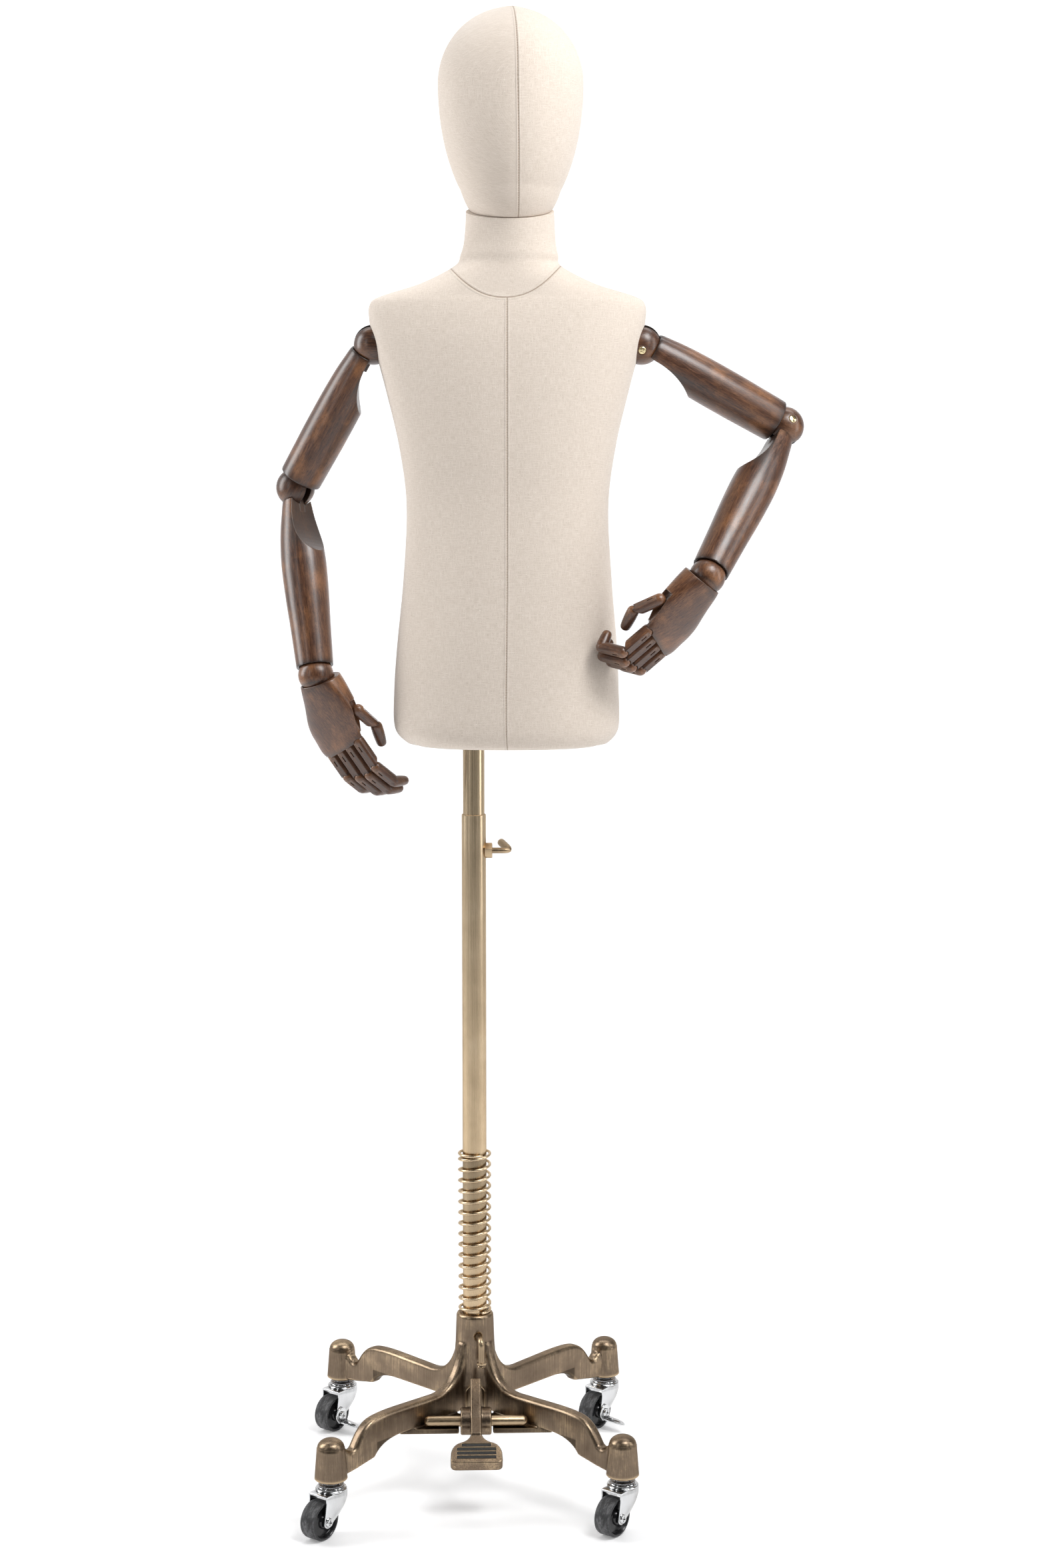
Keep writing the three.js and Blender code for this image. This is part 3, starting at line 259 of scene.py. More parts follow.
def swept(path, radius, sides=16):
    """A round bar along a path of points, rounded at both ends. The radius may differ from point to point."""
    path = np.asarray(path, float)
    radii = np.full(len(path), radius, float)
    tangent = np.gradient(path, axis=0)
    tangent /= np.linalg.norm(tangent, axis=1)[:, None]
    normal = np.cross(tangent[0], ANY_WAY)
    angles = np.linspace(0, 2 * math.pi, sides, endpoint=False)
    circles = []
    for ahead in tangent:
        normal = normal - ahead * np.dot(normal, ahead)
        normal /= np.linalg.norm(normal)
        circles.append(np.outer(np.cos(angles), normal) + np.outer(np.sin(angles), np.cross(ahead, normal)))

    def rounded(end, way):
        deep, wide = tangent[end] * way * 0.5 * radii[end], circles[end] * radii[end]
        return [path[end] + deep * math.sin(t) + wide * math.cos(t) for t in (0.5, 1.0, 1.4)]

    rings = [centre + circle * r for centre, circle, r in zip(path, circles, radii)]
    return lofted([*reversed(rounded(0, -1)), *rings, *rounded(-1, 1)])


def spline(points, steps=8):
    """A smooth curve through points of any dimension."""
    p = np.asarray(points, float)
    p = np.vstack([2 * p[0] - p[1], p, 2 * p[-1] - p[-2]])
    t = np.linspace(0, 1, steps, endpoint=False)[:, None]
    spans = []
    for a, b, c, d in zip(p, p[1:], p[2:], p[3:]):
        square, cube = 2 * a - 5 * b + 4 * c - d, 3 * b - a - 3 * c + d
        spans.append(0.5 * (2 * b + (c - a) * t + square * t**2 + cube * t**3))
    return np.vstack(spans + [p[-2][None]])


def bezier(a, b, c, d=None, steps=10):
    """Points along a quadratic or cubic curve, without its first point."""
    t = np.linspace(0, 1, steps + 1)[1:, None]
    a, b, c = (np.asarray(v, float) for v in (a, b, c))
    if d is None:
        return (1 - t) ** 2 * a + 2 * t * (1 - t) * b + t**2 * c
    return (1 - t) ** 3 * a + 3 * t * (1 - t) ** 2 * b + 3 * t**2 * (1 - t) * c + t**3 * np.asarray(d, float)


def outline_of(start, *steps):
    """An outline from a start: a pair is a straight step, and a longer tuple a curve's other points."""
    points = [np.asarray(start, float)]
    for step in steps:
        if np.ndim(step[0]) == 0:
            points.append(np.asarray(step, float))
        else:
            points += list(bezier(points[-1], *step))
    return np.array(points)


# ---------------------------------------------------------------- meshes and pieces
def mesh_of(shape):
    points, faces = shape
    mesh = bpy.data.meshes.new("shape")
    mesh.from_pydata((np.asarray(points) * MM).tolist(), [], [list(map(int, face)) for face in faces])
    mesh.validate()
    return mesh


def carved(shape, joined=(), removed=(), voxel=0.0, relax=0, bevel=0.0):
    """One mesh from a shape with others joined and removed, then remeshed or bevelled to round its edges."""
    link = bpy.context.scene.collection.objects.link
    body = bpy.data.objects.new("body", shape if isinstance(shape, bpy.types.Mesh) else mesh_of(shape))
    link(body)
    tools = []
    for shapes, operation in ((joined, "UNION"), (removed, "DIFFERENCE")):
        for tool_shape in shapes:
            tool = bpy.data.objects.new("tool", mesh_of(tool_shape))
            link(tool)
            tools.append(tool)
            step = body.modifiers.new("step", "BOOLEAN")
            step.operation = operation
            step.object = tool
            step.solver = "EXACT"
    if voxel:
        remesh = body.modifiers.new("remesh", "REMESH")
        remesh.mode = "VOXEL"
        remesh.voxel_size = voxel * MM
    if relax:
        smooth = body.modifiers.new("smooth", "SMOOTH")
        smooth.factor = 0.5
        smooth.iterations = relax
    if bevel:
        edge = body.modifiers.new("edge", "BEVEL")
        edge.width = bevel * MM
        edge.segments = 2
        edge.limit_method = "ANGLE"
        edge.angle_limit = math.radians(38)
        edge.use_clamp_overlap = True
    depsgraph = bpy.context.evaluated_depsgraph_get()
    made = bpy.data.meshes.new_from_object(body.evaluated_get(depsgraph))
    for temporary in [body, *tools]:
        mesh = temporary.data
        bpy.data.objects.remove(temporary)
        bpy.data.meshes.remove(mesh)
    return made


def coordinates(mesh):
    flat = np.zeros(len(mesh.vertices) * 3, np.float32)
    mesh.vertices.foreach_get("co", flat)
    return flat.reshape(-1, 3) / MM


def nowhere(x, y, z):
    return 0 * x


def tagged(mesh, **rules):
    """Stores each rule's value at every point, for the material. A rule takes x, y, z in millimetres."""
    x, y, z = coordinates(mesh).T
    for name, rule in rules.items():
        layer = mesh.attributes.new(name, "FLOAT", "POINT")
        layer.data.foreach_set("value", rule(x, y, z).astype(np.float32))
    return mesh


def piece(name, mesh, place, body, material, replaced=(), crease=40):
    """Puts a mesh in place and hangs it on its CAD body."""
    if not isinstance(mesh, bpy.types.Mesh):
        mesh = mesh_of(mesh)
    mesh.name = name
    obj = bpy.data.objects.new(name, mesh)
    bpy.context.scene.collection.objects.link(obj)
    obj.matrix_world = place
    mesh.materials.clear()
    mesh.materials.append(material)
    mesh.shade_smooth()
    mesh.set_sharp_from_angle(angle=math.radians(crease))
    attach(obj, body)
    if replaced:
        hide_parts(*replaced)
    return obj


# ---------------------------------------------------------------- materials
METAL_RIM = (0.6, 0.57, 0.54)  # the tint of a metal's reflections at a grazing angle


class Nodes:
    """A short way to wire one material's nodes."""

    def __init__(self, name):
        self.material = bpy.data.materials.new(name)
        self.material.use_nodes = True
        self.tree = self.material.node_tree
        self.shader = self.tree.nodes["Principled BSDF"]
        self.place = self.add("TexCoord").outputs["Object"]
        self.uv = self.add("TexCoord").outputs["UV"]

    def add(self, kind, **settings):
        node = self.tree.nodes.new("ShaderNode" + kind)
        for key, value in settings.items():
            setattr(node, key, value)
        return node

    def feed(self, socket, value):
        if isinstance(value, bpy.types.NodeSocket):
            self.tree.links.new(value, socket)
        else:
            socket.default_value = value

    def set(self, **values):
        """Plain numbers and colours on the shader's own sockets."""
        for key, value in values.items():
            self.feed(self.shader.inputs[key.replace("_", " ")], value)

    def scaled(self, vector, scale):
        node = self.add("Mapping")
        self.feed(node.inputs["Vector"], vector)
        node.inputs["Scale"].default_value = scale
        return node.outputs["Vector"]

    def noise(self, scale, vector=None, stretch=(1, 1, 1), detail=4.0, rough=0.55):
        node = self.add("TexNoise")
        self.feed(node.inputs["Vector"], self.scaled(self.place if vector is None else vector, stretch))
        node.inputs["Scale"].default_value = scale
        node.inputs["Detail"].default_value = detail
        node.inputs["Roughness"].default_value = rough
        return node.outputs["Fac"]

    def math(self, operation, a, b=0.0, c=0.0):
        node = self.add("Math", operation=operation)
        for socket, value in zip(node.inputs, (a, b, c)):
            self.feed(socket, value)
        return node.outputs[0]

    def mapped(self, value, low, high, to_low=0.0, to_high=1.0):
        node = self.add("MapRange")
        node.clamp = True
        node.interpolation_type = "SMOOTHSTEP"
        sockets = ("Value", "From Min", "From Max", "To Min", "To Max")
        for name, number in zip(sockets, (value, low, high, to_low, to_high)):
            self.feed(node.inputs[name], number)
        return node.outputs[0]

    def ramp(self, value, *stops):
        node = self.add("ValToRGB")
        self.feed(node.inputs["Fac"], value)
        elements = node.color_ramp.elements
        elements[0].position, elements[1].position = stops[0][0], stops[-1][0]
        for position, _ in stops[1:-1]:
            elements.new(position)
        for stop, (_, colour) in zip(sorted(elements, key=lambda element: element.position), stops):
            stop.color = (*colour, 1)
        return node.outputs["Color"]

    def mix(self, factor, a, b, blend="MIX"):
        node = self.add("Mix", data_type="RGBA", blend_type=blend)
        sockets = [s for s in node.inputs if s.type == "RGBA"]
        self.feed(node.inputs[0], factor)
        for socket, value in zip(sockets, (a, b)):
            self.feed(socket, value if isinstance(value, bpy.types.NodeSocket) else (*value, 1))
        return [s for s in node.outputs if s.type == "RGBA"][0]

    def attribute(self, name):
        return self.add("Attribute", attribute_name=name).outputs["Fac"]

    def pointiness(self):
        return self.add("NewGeometry").outputs["Pointiness"]

    def axes(self, vector=None):
        node = self.add("SeparateXYZ")
        self.feed(node.inputs[0], self.place if vector is None else vector)
        return node.outputs

    def bump(self, *layers):
        """Bump from (height, strength, distance in millimetres) layers, one over the other."""
        normal = None
        for height, strength, distance in layers:
            node = self.add("Bump")
            self.feed(node.inputs["Height"], height)
            node.inputs["Strength"].default_value = strength
            node.inputs["Distance"].default_value = distance * MM
            if normal is not None:
                self.feed(node.inputs["Normal"], normal)
            normal = node.outputs["Normal"]
        self.feed(self.shader.inputs["Normal"], normal)


def wood_material():
    """Walnut-stained hardwood under satin lacquer, with its grain along each piece's own Z."""
    n = Nodes("stained_wood")
    warp = n.noise(18, detail=2)
    streaks = n.noise(1.0, stretch=(700, 700, 75), detail=6, rough=0.66)
    pores = n.noise(1.0, stretch=(1700, 1700, 330), detail=3, rough=0.75)
    patches = n.noise(40, stretch=(1, 1, 0.6), detail=4)
    grain = n.math("ADD", n.math("MULTIPLY", streaks, 0.66), n.math("MULTIPLY", warp, 0.34))
    brown = n.ramp(grain, (0.33, (0.028, 0.012, 0.008)), (0.5, (0.105, 0.043, 0.021)),
                   (0.66, (0.225, 0.098, 0.043)))
    lit = n.mix(n.mapped(patches, 0.48, 0.7, 0.0, 0.7), brown, (0.33, 0.145, 0.058))
    pored = n.mix(n.mapped(pores, 0.52, 0.66, 0.0, 0.7), lit, (0.02, 0.010, 0.007))
    # Painted shade: faces tagged 'cut' (the scoop faces, the flats along the finger backs and the palm's
    # knuckle end) are darkened up to 70% towards grey-black.
    cut = n.mix(n.math("MULTIPLY", n.attribute("cut"), 0.7), pored, (0.045, 0.035, 0.031))
    # Lighter grey-brown on convex edges: partly worn stain, partly a painted edge highlight.
    lighter_edges = n.mix(n.mapped(n.pointiness(), 0.5, 0.56, 0.0, 0.35), cut, (0.13, 0.09, 0.07))
    # Painted shade: concave places, where pointiness falls below 0.5, are darkened up to 80% towards
    # near-black. The 'dark' attribute adds the dark joint ends and painted shade in the balls' slots.
    painted_hollow_shade = n.mapped(n.pointiness(), 0.5, 0.45, 0.0, 0.8)
    dark = n.math("MAXIMUM", n.attribute("dark"), painted_hollow_shade)
    n.set(**{"Base Color": n.mix(dark, lighter_edges, (0.006, 0.004, 0.004))})
    n.set(Roughness=n.mapped(streaks, 0.3, 0.7, 0.3, 0.46))
    n.set(**{"Coat Weight": 0.45, "Coat Roughness": 0.26, "Specular IOR Level": 0.5})
    n.bump((streaks, 0.25, 0.18), (pores, 0.3, 0.08))
    return n.material


def metal_material(name, dark, mid, bright, roughness, brush, patina, edge):
    """Plated metal brushed along Z, darker in hollows and brighter on its rubbed edges."""
    n = Nodes(name)
    streaks = n.noise(1.0, stretch=brush, detail=5, rough=0.7)
    clouds = n.noise(26, detail=4, rough=0.6)
    grain = n.noise(1400, detail=2)
    tone = n.math("ADD", n.math("MULTIPLY", streaks, 0.45), n.math("MULTIPLY", clouds, 0.55))
    plated = n.ramp(tone, (0.3, dark), (0.52, mid), (0.72, bright))
    hollow = n.mapped(n.pointiness(), 0.5, 0.44, 0.0, patina)
    lighter_edges = n.mapped(n.pointiness(), 0.505, 0.56, 0.0, edge)
    base = n.mix(hollow, n.mix(lighter_edges, plated, bright), tuple(0.3 * c for c in dark))
    # Here the 'dark' attribute is painted shade, darkening the casting's underside and the tube inside the
    # spring towards near-black.
    n.set(**{"Base Color": n.mix(n.attribute("dark"), base, (0.01, 0.009, 0.008)), "Metallic": 1.0})
    n.set(**{"Specular Tint": (*METAL_RIM, 1)})
    n.set(Roughness=n.mapped(streaks, 0.25, 0.75, roughness - 0.07, roughness + 0.09))
    n.bump((streaks, 0.12, 0.1), (grain, 0.06, 0.05))
    return n.material


def rubber_material():
    """Black moulded wheel rubber, scuffed grey on its tread."""
    n = Nodes("black_rubber")
    scuffs = n.noise(60, stretch=(1, 3, 1), detail=6, rough=0.75)
    dust = n.noise(420, detail=4, rough=0.7)
    tread = n.attribute("tread")
    scuffed = n.math("MULTIPLY", n.mapped(scuffs, 0.42, 0.62, 0.12, 1.0), n.mapped(dust, 0.3, 0.7, 0.5, 1.0))
    grey = n.math("MULTIPLY", tread, scuffed)
    n.set(**{"Base Color": n.mix(grey, (0.011, 0.011, 0.012), (0.16, 0.16, 0.165))})
    n.set(Roughness=n.mapped(n.math("ADD", tread, n.math("MULTIPLY", scuffs, 0.3)), 0.1, 1.0, 0.2, 0.62))
    n.bump((scuffs, 0.12, 0.2), (dust, 0.15, 0.08))
    return n.material


def grip_material():
    """Coarse matt black paint in the pedal's grooves."""
    n = Nodes("grip_black")
    coarse = n.noise(900, detail=5, rough=0.8)
    n.set(**{"Base Color": n.ramp(coarse, (0.35, (0.006, 0.006, 0.006)), (0.75, (0.075, 0.07, 0.062)))})
    n.set(Roughness=n.mapped(coarse, 0.3, 0.7, 0.7, 0.95))
    n.bump((coarse, 0.9, 0.6))
    return n.material


def linen_material():
    """Unbleached plain-weave linen with slubs, read along and across the cloth from its UVs in metres."""
    n = Nodes("linen")
    u, v, _ = n.axes(n.uv)
    drift = n.math("MULTIPLY", n.math("SUBTRACT", n.noise(150, vector=n.uv, detail=3), 0.5), 0.0016)
    pitch = 2 * math.pi / 0.00092
    warp = n.math("SINE", n.math("MULTIPLY", n.math("ADD", u, drift), pitch))
    weft = n.math("SINE", n.math("MULTIPLY", n.math("ADD", v, drift), pitch))
    weave = n.math("ADD", n.math("MULTIPLY", n.math("MULTIPLY", warp, weft), 0.25), 0.5)
    long_slubs = n.noise(1.0, vector=n.uv, stretch=(1100, 120, 1), detail=4, rough=0.7)
    cross_slubs = n.noise(1.0, vector=n.uv, stretch=(120, 1100, 1), detail=4, rough=0.7)
    fuzz = n.noise(1500, vector=n.uv, detail=4, rough=0.8)
    nubs = n.mapped(n.noise(420, vector=n.uv, detail=2, rough=0.8), 0.64, 0.74)
    slubs = n.math("MAXIMUM", long_slubs, cross_slubs)
    tone = n.math("ADD", n.math("MULTIPLY", slubs, 0.62), n.math("MULTIPLY", fuzz, 0.38))
    cloth = n.ramp(tone, (0.38, (0.59, 0.50, 0.415)), (0.56, (0.775, 0.685, 0.6)),
                   (0.78, (0.885, 0.815, 0.745)))
    flecked = n.mix(n.math("MULTIPLY", nubs, 0.55), cloth, (0.97, 0.93, 0.86))
    stained = n.mix(n.mapped(n.noise(9, detail=3), 0.45, 0.75, 0.0, 0.12), flecked, (0.68, 0.59, 0.49))
    gap = n.math("MINIMUM", n.math("ABSOLUTE", n.attribute("seam")), n.math("ABSOLUTE", n.attribute("neck")))
    stitch = n.mapped(n.math("SINE", n.math("MULTIPLY", v, 2 * math.pi / 0.0026)), -1, 1, 0.62, 0.92)
    thread = n.math("MULTIPLY", n.mapped(gap, 0.7, 0.2), stitch)
    fold = n.ramp(n.math("DIVIDE", gap, 4), (0.0, (0, 0, 0)), (0.1, (0.3, 0.3, 0.3)), (0.3, (1, 1, 1)),
                  (0.5, (0.95, 0.95, 0.95)), (0.62, (0.5, 0.5, 0.5)), (1.0, (0.45, 0.45, 0.45)))
    n.set(**{"Base Color": n.mix(thread, stained, (0.33, 0.235, 0.165))})
    n.set(**{"Roughness": 0.93, "Sheen Weight": 0.28, "Sheen Roughness": 0.5, "Specular IOR Level": 0.25})
    n.bump((fold, 0.8, 0.8), (weave, 0.35, 0.25), (slubs, 0.55, 0.5), (fuzz, 0.35, 0.25), (nubs, 0.5, 0.3))
    return n.material


def stage_material():
    """A pale matt stage that can be seen through from behind, so that the back can be looked at."""
    n = Nodes("pale_floor")
    haze = n.noise(2.5, detail=3)
    n.set(**{"Base Color": n.ramp(haze, (0.3, (0.88, 0.88, 0.885)), (0.7, (0.9, 0.9, 0.905)))})
    n.set(**{"Roughness": 0.7, "Specular IOR Level": 0.15})
    n.set(**{"Emission Strength": 0.2, "Emission Color": (1, 1, 1, 1)})
    one_sided = n.add("MixShader")
    n.feed(one_sided.inputs[0], n.add("NewGeometry").outputs["Backfacing"])
    n.feed(one_sided.inputs[1], n.shader.outputs["BSDF"])
    n.feed(one_sided.inputs[2], n.add("BsdfTransparent").outputs["BSDF"])
    n.feed(n.tree.nodes["Material Output"].inputs["Surface"], one_sided.outputs["Shader"])
    return n.material


WOOD = wood_material()
CAST = metal_material(
    "antique_brass", dark=(0.105, 0.077, 0.056), mid=(0.225, 0.168, 0.118), bright=(0.66, 0.495, 0.31),
    roughness=0.33, brush=(900, 900, 22), patina=0.85, edge=0.75)
SATIN = metal_material(
    "satin_brass", dark=(0.42, 0.31, 0.19), mid=(0.62, 0.47, 0.30), bright=(0.82, 0.66, 0.46),
    roughness=0.27, brush=(1500, 1500, 9), patina=0.6, edge=0.4)
GOLD = metal_material(
    "bright_brass", dark=(0.50, 0.39, 0.20), mid=(0.72, 0.58, 0.31), bright=(0.92, 0.79, 0.50),
    roughness=0.2, brush=(600, 600, 600), patina=0.7, edge=0.5)
ZINC = metal_material(
    "zinc_plate", dark=(0.42, 0.43, 0.44), mid=(0.62, 0.63, 0.64), bright=(0.86, 0.87, 0.88),
    roughness=0.17, brush=(240, 240, 60), patina=0.7, edge=0.5)
STEEL = metal_material(
    "dark_steel", dark=(0.12, 0.12, 0.125), mid=(0.24, 0.24, 0.25), bright=(0.5, 0.5, 0.51),
    roughness=0.3, brush=(500, 500, 500), patina=0.7, edge=0.5)
RUBBER = rubber_material()
GRIP = grip_material()
LINEN = linen_material()
FLOOR = stage_material()


# ---------------------------------------------------------------- base
def leg_outline():
    start = (HUB.bore + 2, LEG.under)
    return outline_of(
        start, (40, LEG.under), (80, LEG.under), (118, LEG.under),
        ((143, LEG.under - 1), (152, 66)), (165, 63.5), (178, LEG.cap_foot + 2.5),
        (LEG.reach - 8, LEG.cap_foot), (LEG.reach - 8, 88), (LEG.notch + 6, 86),
        ((LEG.notch, LEG.notch_top - 2), (LEG.notch - 6, LEG.notch_top + 3)),
        ((172, 92), (165, 105), (148, 107)), ((134, LEG.crest + 0.8), (110, LEG.crest)),
        (86, 107.3), (62, 106.5), ((30, 107), (22, 150)), (HUB.bore + 2, 160),
    )


def leg_roundness(outline):
    """The upper edges of a leg are rounded fully, and the lower ones a little."""
    upper = outline[:, 1] > 80.8
    return np.where(upper, 1.0, 0.35)


def base_casting():
    hub = turned([
        (0, HUB.foot), (HUB.flare, HUB.foot), (HUB.flare - 0.5, 108), (HUB.foot_radius, 122),
        (HUB.top_radius + 1, 150), (HUB.top_radius, HUB.top - 2.5), (HUB.top_radius - 1.6, HUB.top),
        (0, HUB.top),
    ], 96)
    rise = CAP.top - CAP.rim - 0.6
    dome = [
        (CAP.rim_radius * math.cos(a) - 0.4, CAP.rim + 0.6 + rise * math.sin(a))
        for a in np.linspace(0.05, 1.5, 9)
    ]
    cap = turned([
        (0, LEG.cap_foot), (CAP.foot_radius, LEG.cap_foot), (CAP.rim_radius, CAP.rim), *dome,
        (0, CAP.top),
    ], 72)
    leg = upright(pillow(leg_outline(), LEG.half, LEG.round, leg_roundness, 5))
    stem_bore = rod(CAP.bore, LEG.cap_foot - 1, CAP.bore_top)
    joined, removed = [], []
    for quarter in range(4):
        turn = turned_about(45 + 90 * quarter, "Z")
        joined += [moved(leg, turn), moved(cap, turn @ shifted(LEG.reach, 0, 0))]
        removed.append(moved(stem_bore, turn @ shifted(LEG.reach, 0, 0)))
    back, front, wide = GUSSET.back, GUSSET.front, GUSSET.front + 4
    gusset = [(-back, -back), (back, -back), (wide, -front), (-wide, -front)]
    joined.append(prism(gusset, GUSSET.low, GUSSET.high))
    room = PEDAL.boss_half + 1.5
    removed += [
        rod(HUB.bore, HUB.foot - 20, HUB.top + 1, 64),
        box((-room, room), (-front - 1, SHAFT.y + PEDAL.boss_radius + 2), (70, GUSSET.high + 1)),
        box((-PEDAL.arm_half - 2, PEDAL.arm_half + 2), (-60, -36), (GUSSET.high - 9, GUSSET.high + 1)),
        upright(prism([(-9, 70), (9, 70), (9, 102), (0, 113), (-9, 102)], 13, 40)),
        moved(rod(HUB_SCREW.radius + 0.3, 0, 40), shifted(0, 0, HUB_SCREW.z)
              @ Matrix.Rotation(HUB_SCREW.turn, 4, "Z") @ turned_about(90, "X")),
    ]
    return carved(hub, joined, removed, voxel=1.22, relax=2)


def cap_shell():
    """The crisp turned surface of a leg's cap, just proud of the casting."""
    proud, rim, height = 0.25, CAP.rim, CAP.top - CAP.rim - 1.2
    dome = [
        ((CAP.rim_radius - 0.3) * math.cos(a), rim + 0.5 + height * math.sin(a))
        for a in np.linspace(0, math.pi / 2, 14)[:-1]
    ]
    foot = LEG.cap_foot
    radii = (CAP.foot_radius + proud, CAP.rim_radius + proud)
    sides = list(zip(np.linspace(*radii, 16), np.linspace(foot + 0.8, rim - 0.4, 16)))
    return turned([
        (CAP.bore, foot), (CAP.foot_radius - 0.6, foot), *sides, *dome, (0, rim + 0.5 + height), (0, rim),
        (CAP.bore, rim - 2), (CAP.bore, foot),
    ], 96)


def base_frame():
    return pole_frame(turn=BASE_TURN)


def pedal_shaft():
    half, bevel, radius = SHAFT.half, SHAFT.bevel, SHAFT.radius
    bar = turned([
        (0, -half), (radius - 3, -half), (radius - 1.2, -half + 1.2), (radius, -half + bevel),
        (radius, half - bevel), (radius - 1.2, half - 1.2), (radius - 3, half), (0, half),
    ])
    return moved(bar, turned_about(90, "Y"))


def pad_outline():
    arm, half, length = PEDAL.arm_half, PEDAL.half, PEDAL.length
    return outline_of(
        (-arm, 0), ((-arm - 1, -9), (-17, -12)), ((-24, -14.5), (-half, -24)), (-half - 0.5, -length + 5),
        ((-half, -length), (-half + 6, -length)), (0, -length), (half - 6, -length),
        ((half, -length), (half + 0.5, -length + 5)), (half, -24), ((24, -14.5), (17, -12)),
        ((arm + 1, -9), (arm, 0)),
    )


def pad_place():
    return shifted(0, PEDAL.y, PEDAL.z) @ turned_about(PEDAL.tilt, "X")


def pedal():
    arm_line = outline_of((-43, 123), ((-62, 112), (-82, 95)), (-97, 85), (-105, 70), (-90, 72), (-60, 92),
                          (-37, 113))
    arm = side_on(pillow(arm_line, PEDAL.arm_half, 1.6))
    across = turned_about(90, "Y")
    boss = moved(rod(PEDAL.boss_radius, -PEDAL.boss_half, PEDAL.boss_half, 72, 1.2), across)
    pad = moved(pillow(pad_outline(), PEDAL.thick / 2, 1.6), pad_place() @ shifted(0, 0, -PEDAL.thick / 2))
    grooves = [
        moved(box((-half, half), (along - GROOVE_HALF, along + GROOVE_HALF), (-GROOVE_DEPTH, 2)), pad_place())
        for along, half in GROOVES
    ]
    at_shaft = shifted(0, SHAFT.y, SHAFT.z)
    bore = moved(rod(SHAFT.radius + 0.15, -40, 40), at_shaft @ across)
    return carved(arm, [moved(boss, at_shaft), pad], [bore, *grooves], voxel=0.45, relax=2)


def pedal_grips():
    """The rough filling of the pad's grooves, a little below its face."""
    points, faces = np.zeros((0, 3)), []
    for along, half in GROOVES:
        low, high = along - GRIP_HALF, along + GRIP_HALF
        bar = pillow([(-half, low), (half, low), (half, high), (-half, high)], GRIP_THICK / 2, GRIP_THICK / 4)
        more, more_faces = moved(bar, pad_place() @ shifted(0, 0, -GRIP_DEPTH))
        faces += [[i + len(points) for i in face] for face in more_faces]
        points = np.vstack([points, more])
    return points, faces


def bent_rod(start, corner, end, bend=7, steps=10):
    """A straight path, a bend about a corner and a straight path on."""
    start, corner, end = (np.array(v, float) for v in (start, corner, end))
    before = corner + (start - corner) / np.linalg.norm(start - corner) * bend
    after = corner + (end - corner) / np.linalg.norm(end - corner) * bend
    first = np.linspace(start, before, steps)
    return np.vstack([first, bezier(before, corner, after, steps=steps), np.linspace(after, end, steps)[1:]])


def hub_screw_parts():
    reach, drop = HUB_SCREW.reach, HUB_SCREW.drop
    rod_path = bent_rod((0, -HUB.bore - 0.2, 0), (0, -reach, 0), (0, -reach, -drop))
    tip = turned(
        [(0, -4.5), (2.6, -4.4), (4.0, -3.6), (4.6, -2.6), (3.9, -1.4), (4.9, -0.9), (5.2, 0.1), (4.9, 0.9),
         (3.9, 1.4), (3.4, 1.8), (0, 1.8)], 48)
    return swept(rod_path, HUB_SCREW.radius), moved(tip, shifted(0, -reach, -drop))


def build_base():
    place = base_frame()

    # Painted shade: the casting's underside, below the gusset's top and within 150 mm of the pole, is
    # darkened 60% towards near-black.
    def under(x, y, z):
        return 0.6 * ((z < GUSSET.high + 0.6) & (np.hypot(x, y) < 150))

    casting = tagged(base_casting(), dark=under)
    piece("cast_base", casting, place, "base", CAST, ["base_casting"], 60)
    for quarter, corner in enumerate(("br", "bl", "fl", "fr")):
        at_cap = turned_about(45 + 90 * quarter, "Z") @ shifted(LEG.reach * MM, 0, 0)
        piece(f"leg_cap_{corner}", cap_shell(), place @ at_cap, "base", CAST, crease=30)
    piece("shaft", pedal_shaft(), place @ shifted(0, SHAFT.y * MM, SHAFT.z * MM), "base", CAST,
          ["pedal_shaft"])
    piece("foot_pedal", pedal(), place, "pedal", CAST, ["pedal"], 60)
    piece("pedal_grips", pedal_grips(), place, "pedal", GRIP)
    handle, tip = hub_screw_parts()
    screw_place = pole_frame(z=HUB_SCREW.z, turn=BASE_TURN + HUB_SCREW.turn)
    piece("hub_screw", handle, screw_place, "hub_screw", CAST, ["hub_lock_screw"])
    piece("hub_screw_tip", tip, screw_place, "hub_screw", CAST)


# ---------------------------------------------------------------- castors
def caster_stem():
    foot, neck, top = STEM.rivet_foot, STEM.neck_foot, STEM.top
    cap_foot = LEG.cap_foot - 0.3
    return turned([
        (0, foot), (5.4, foot), (6, foot + 0.6), (6, foot + 1.6), (STEM.rivet, foot + 1.6),
        (STEM.rivet, neck), (STEM.neck - 0.8, neck), (STEM.neck, neck + 0.8), (STEM.neck, neck + 2.2),
        (STEM.neck - 1.2, neck + 2.8),
        (STEM.neck - 1.2, neck + 3.6), (STEM.neck, neck + 4.2), (STEM.neck, cap_foot),
        (STEM.radius, cap_foot), (STEM.radius, top - 1.5), (STEM.radius - 1.5, top), (0, top),
    ])


def cheek_outline():
    trail, axle = CASTER.trail, CASTER.axle_z
    bearings = np.linspace(-0.5, -math.pi + 0.3, 14)
    arc = [(-trail + 6.2 * math.cos(a), axle + 6.2 * math.sin(a)) for a in bearings]
    curve = outline_of((-CASTER.back, 47), (0, 47), (11, 47), (11, 41), ((8, 30), (-trail + 5.4, axle - 3)))
    return np.vstack([curve, arc, [(-CASTER.back, 41)]])


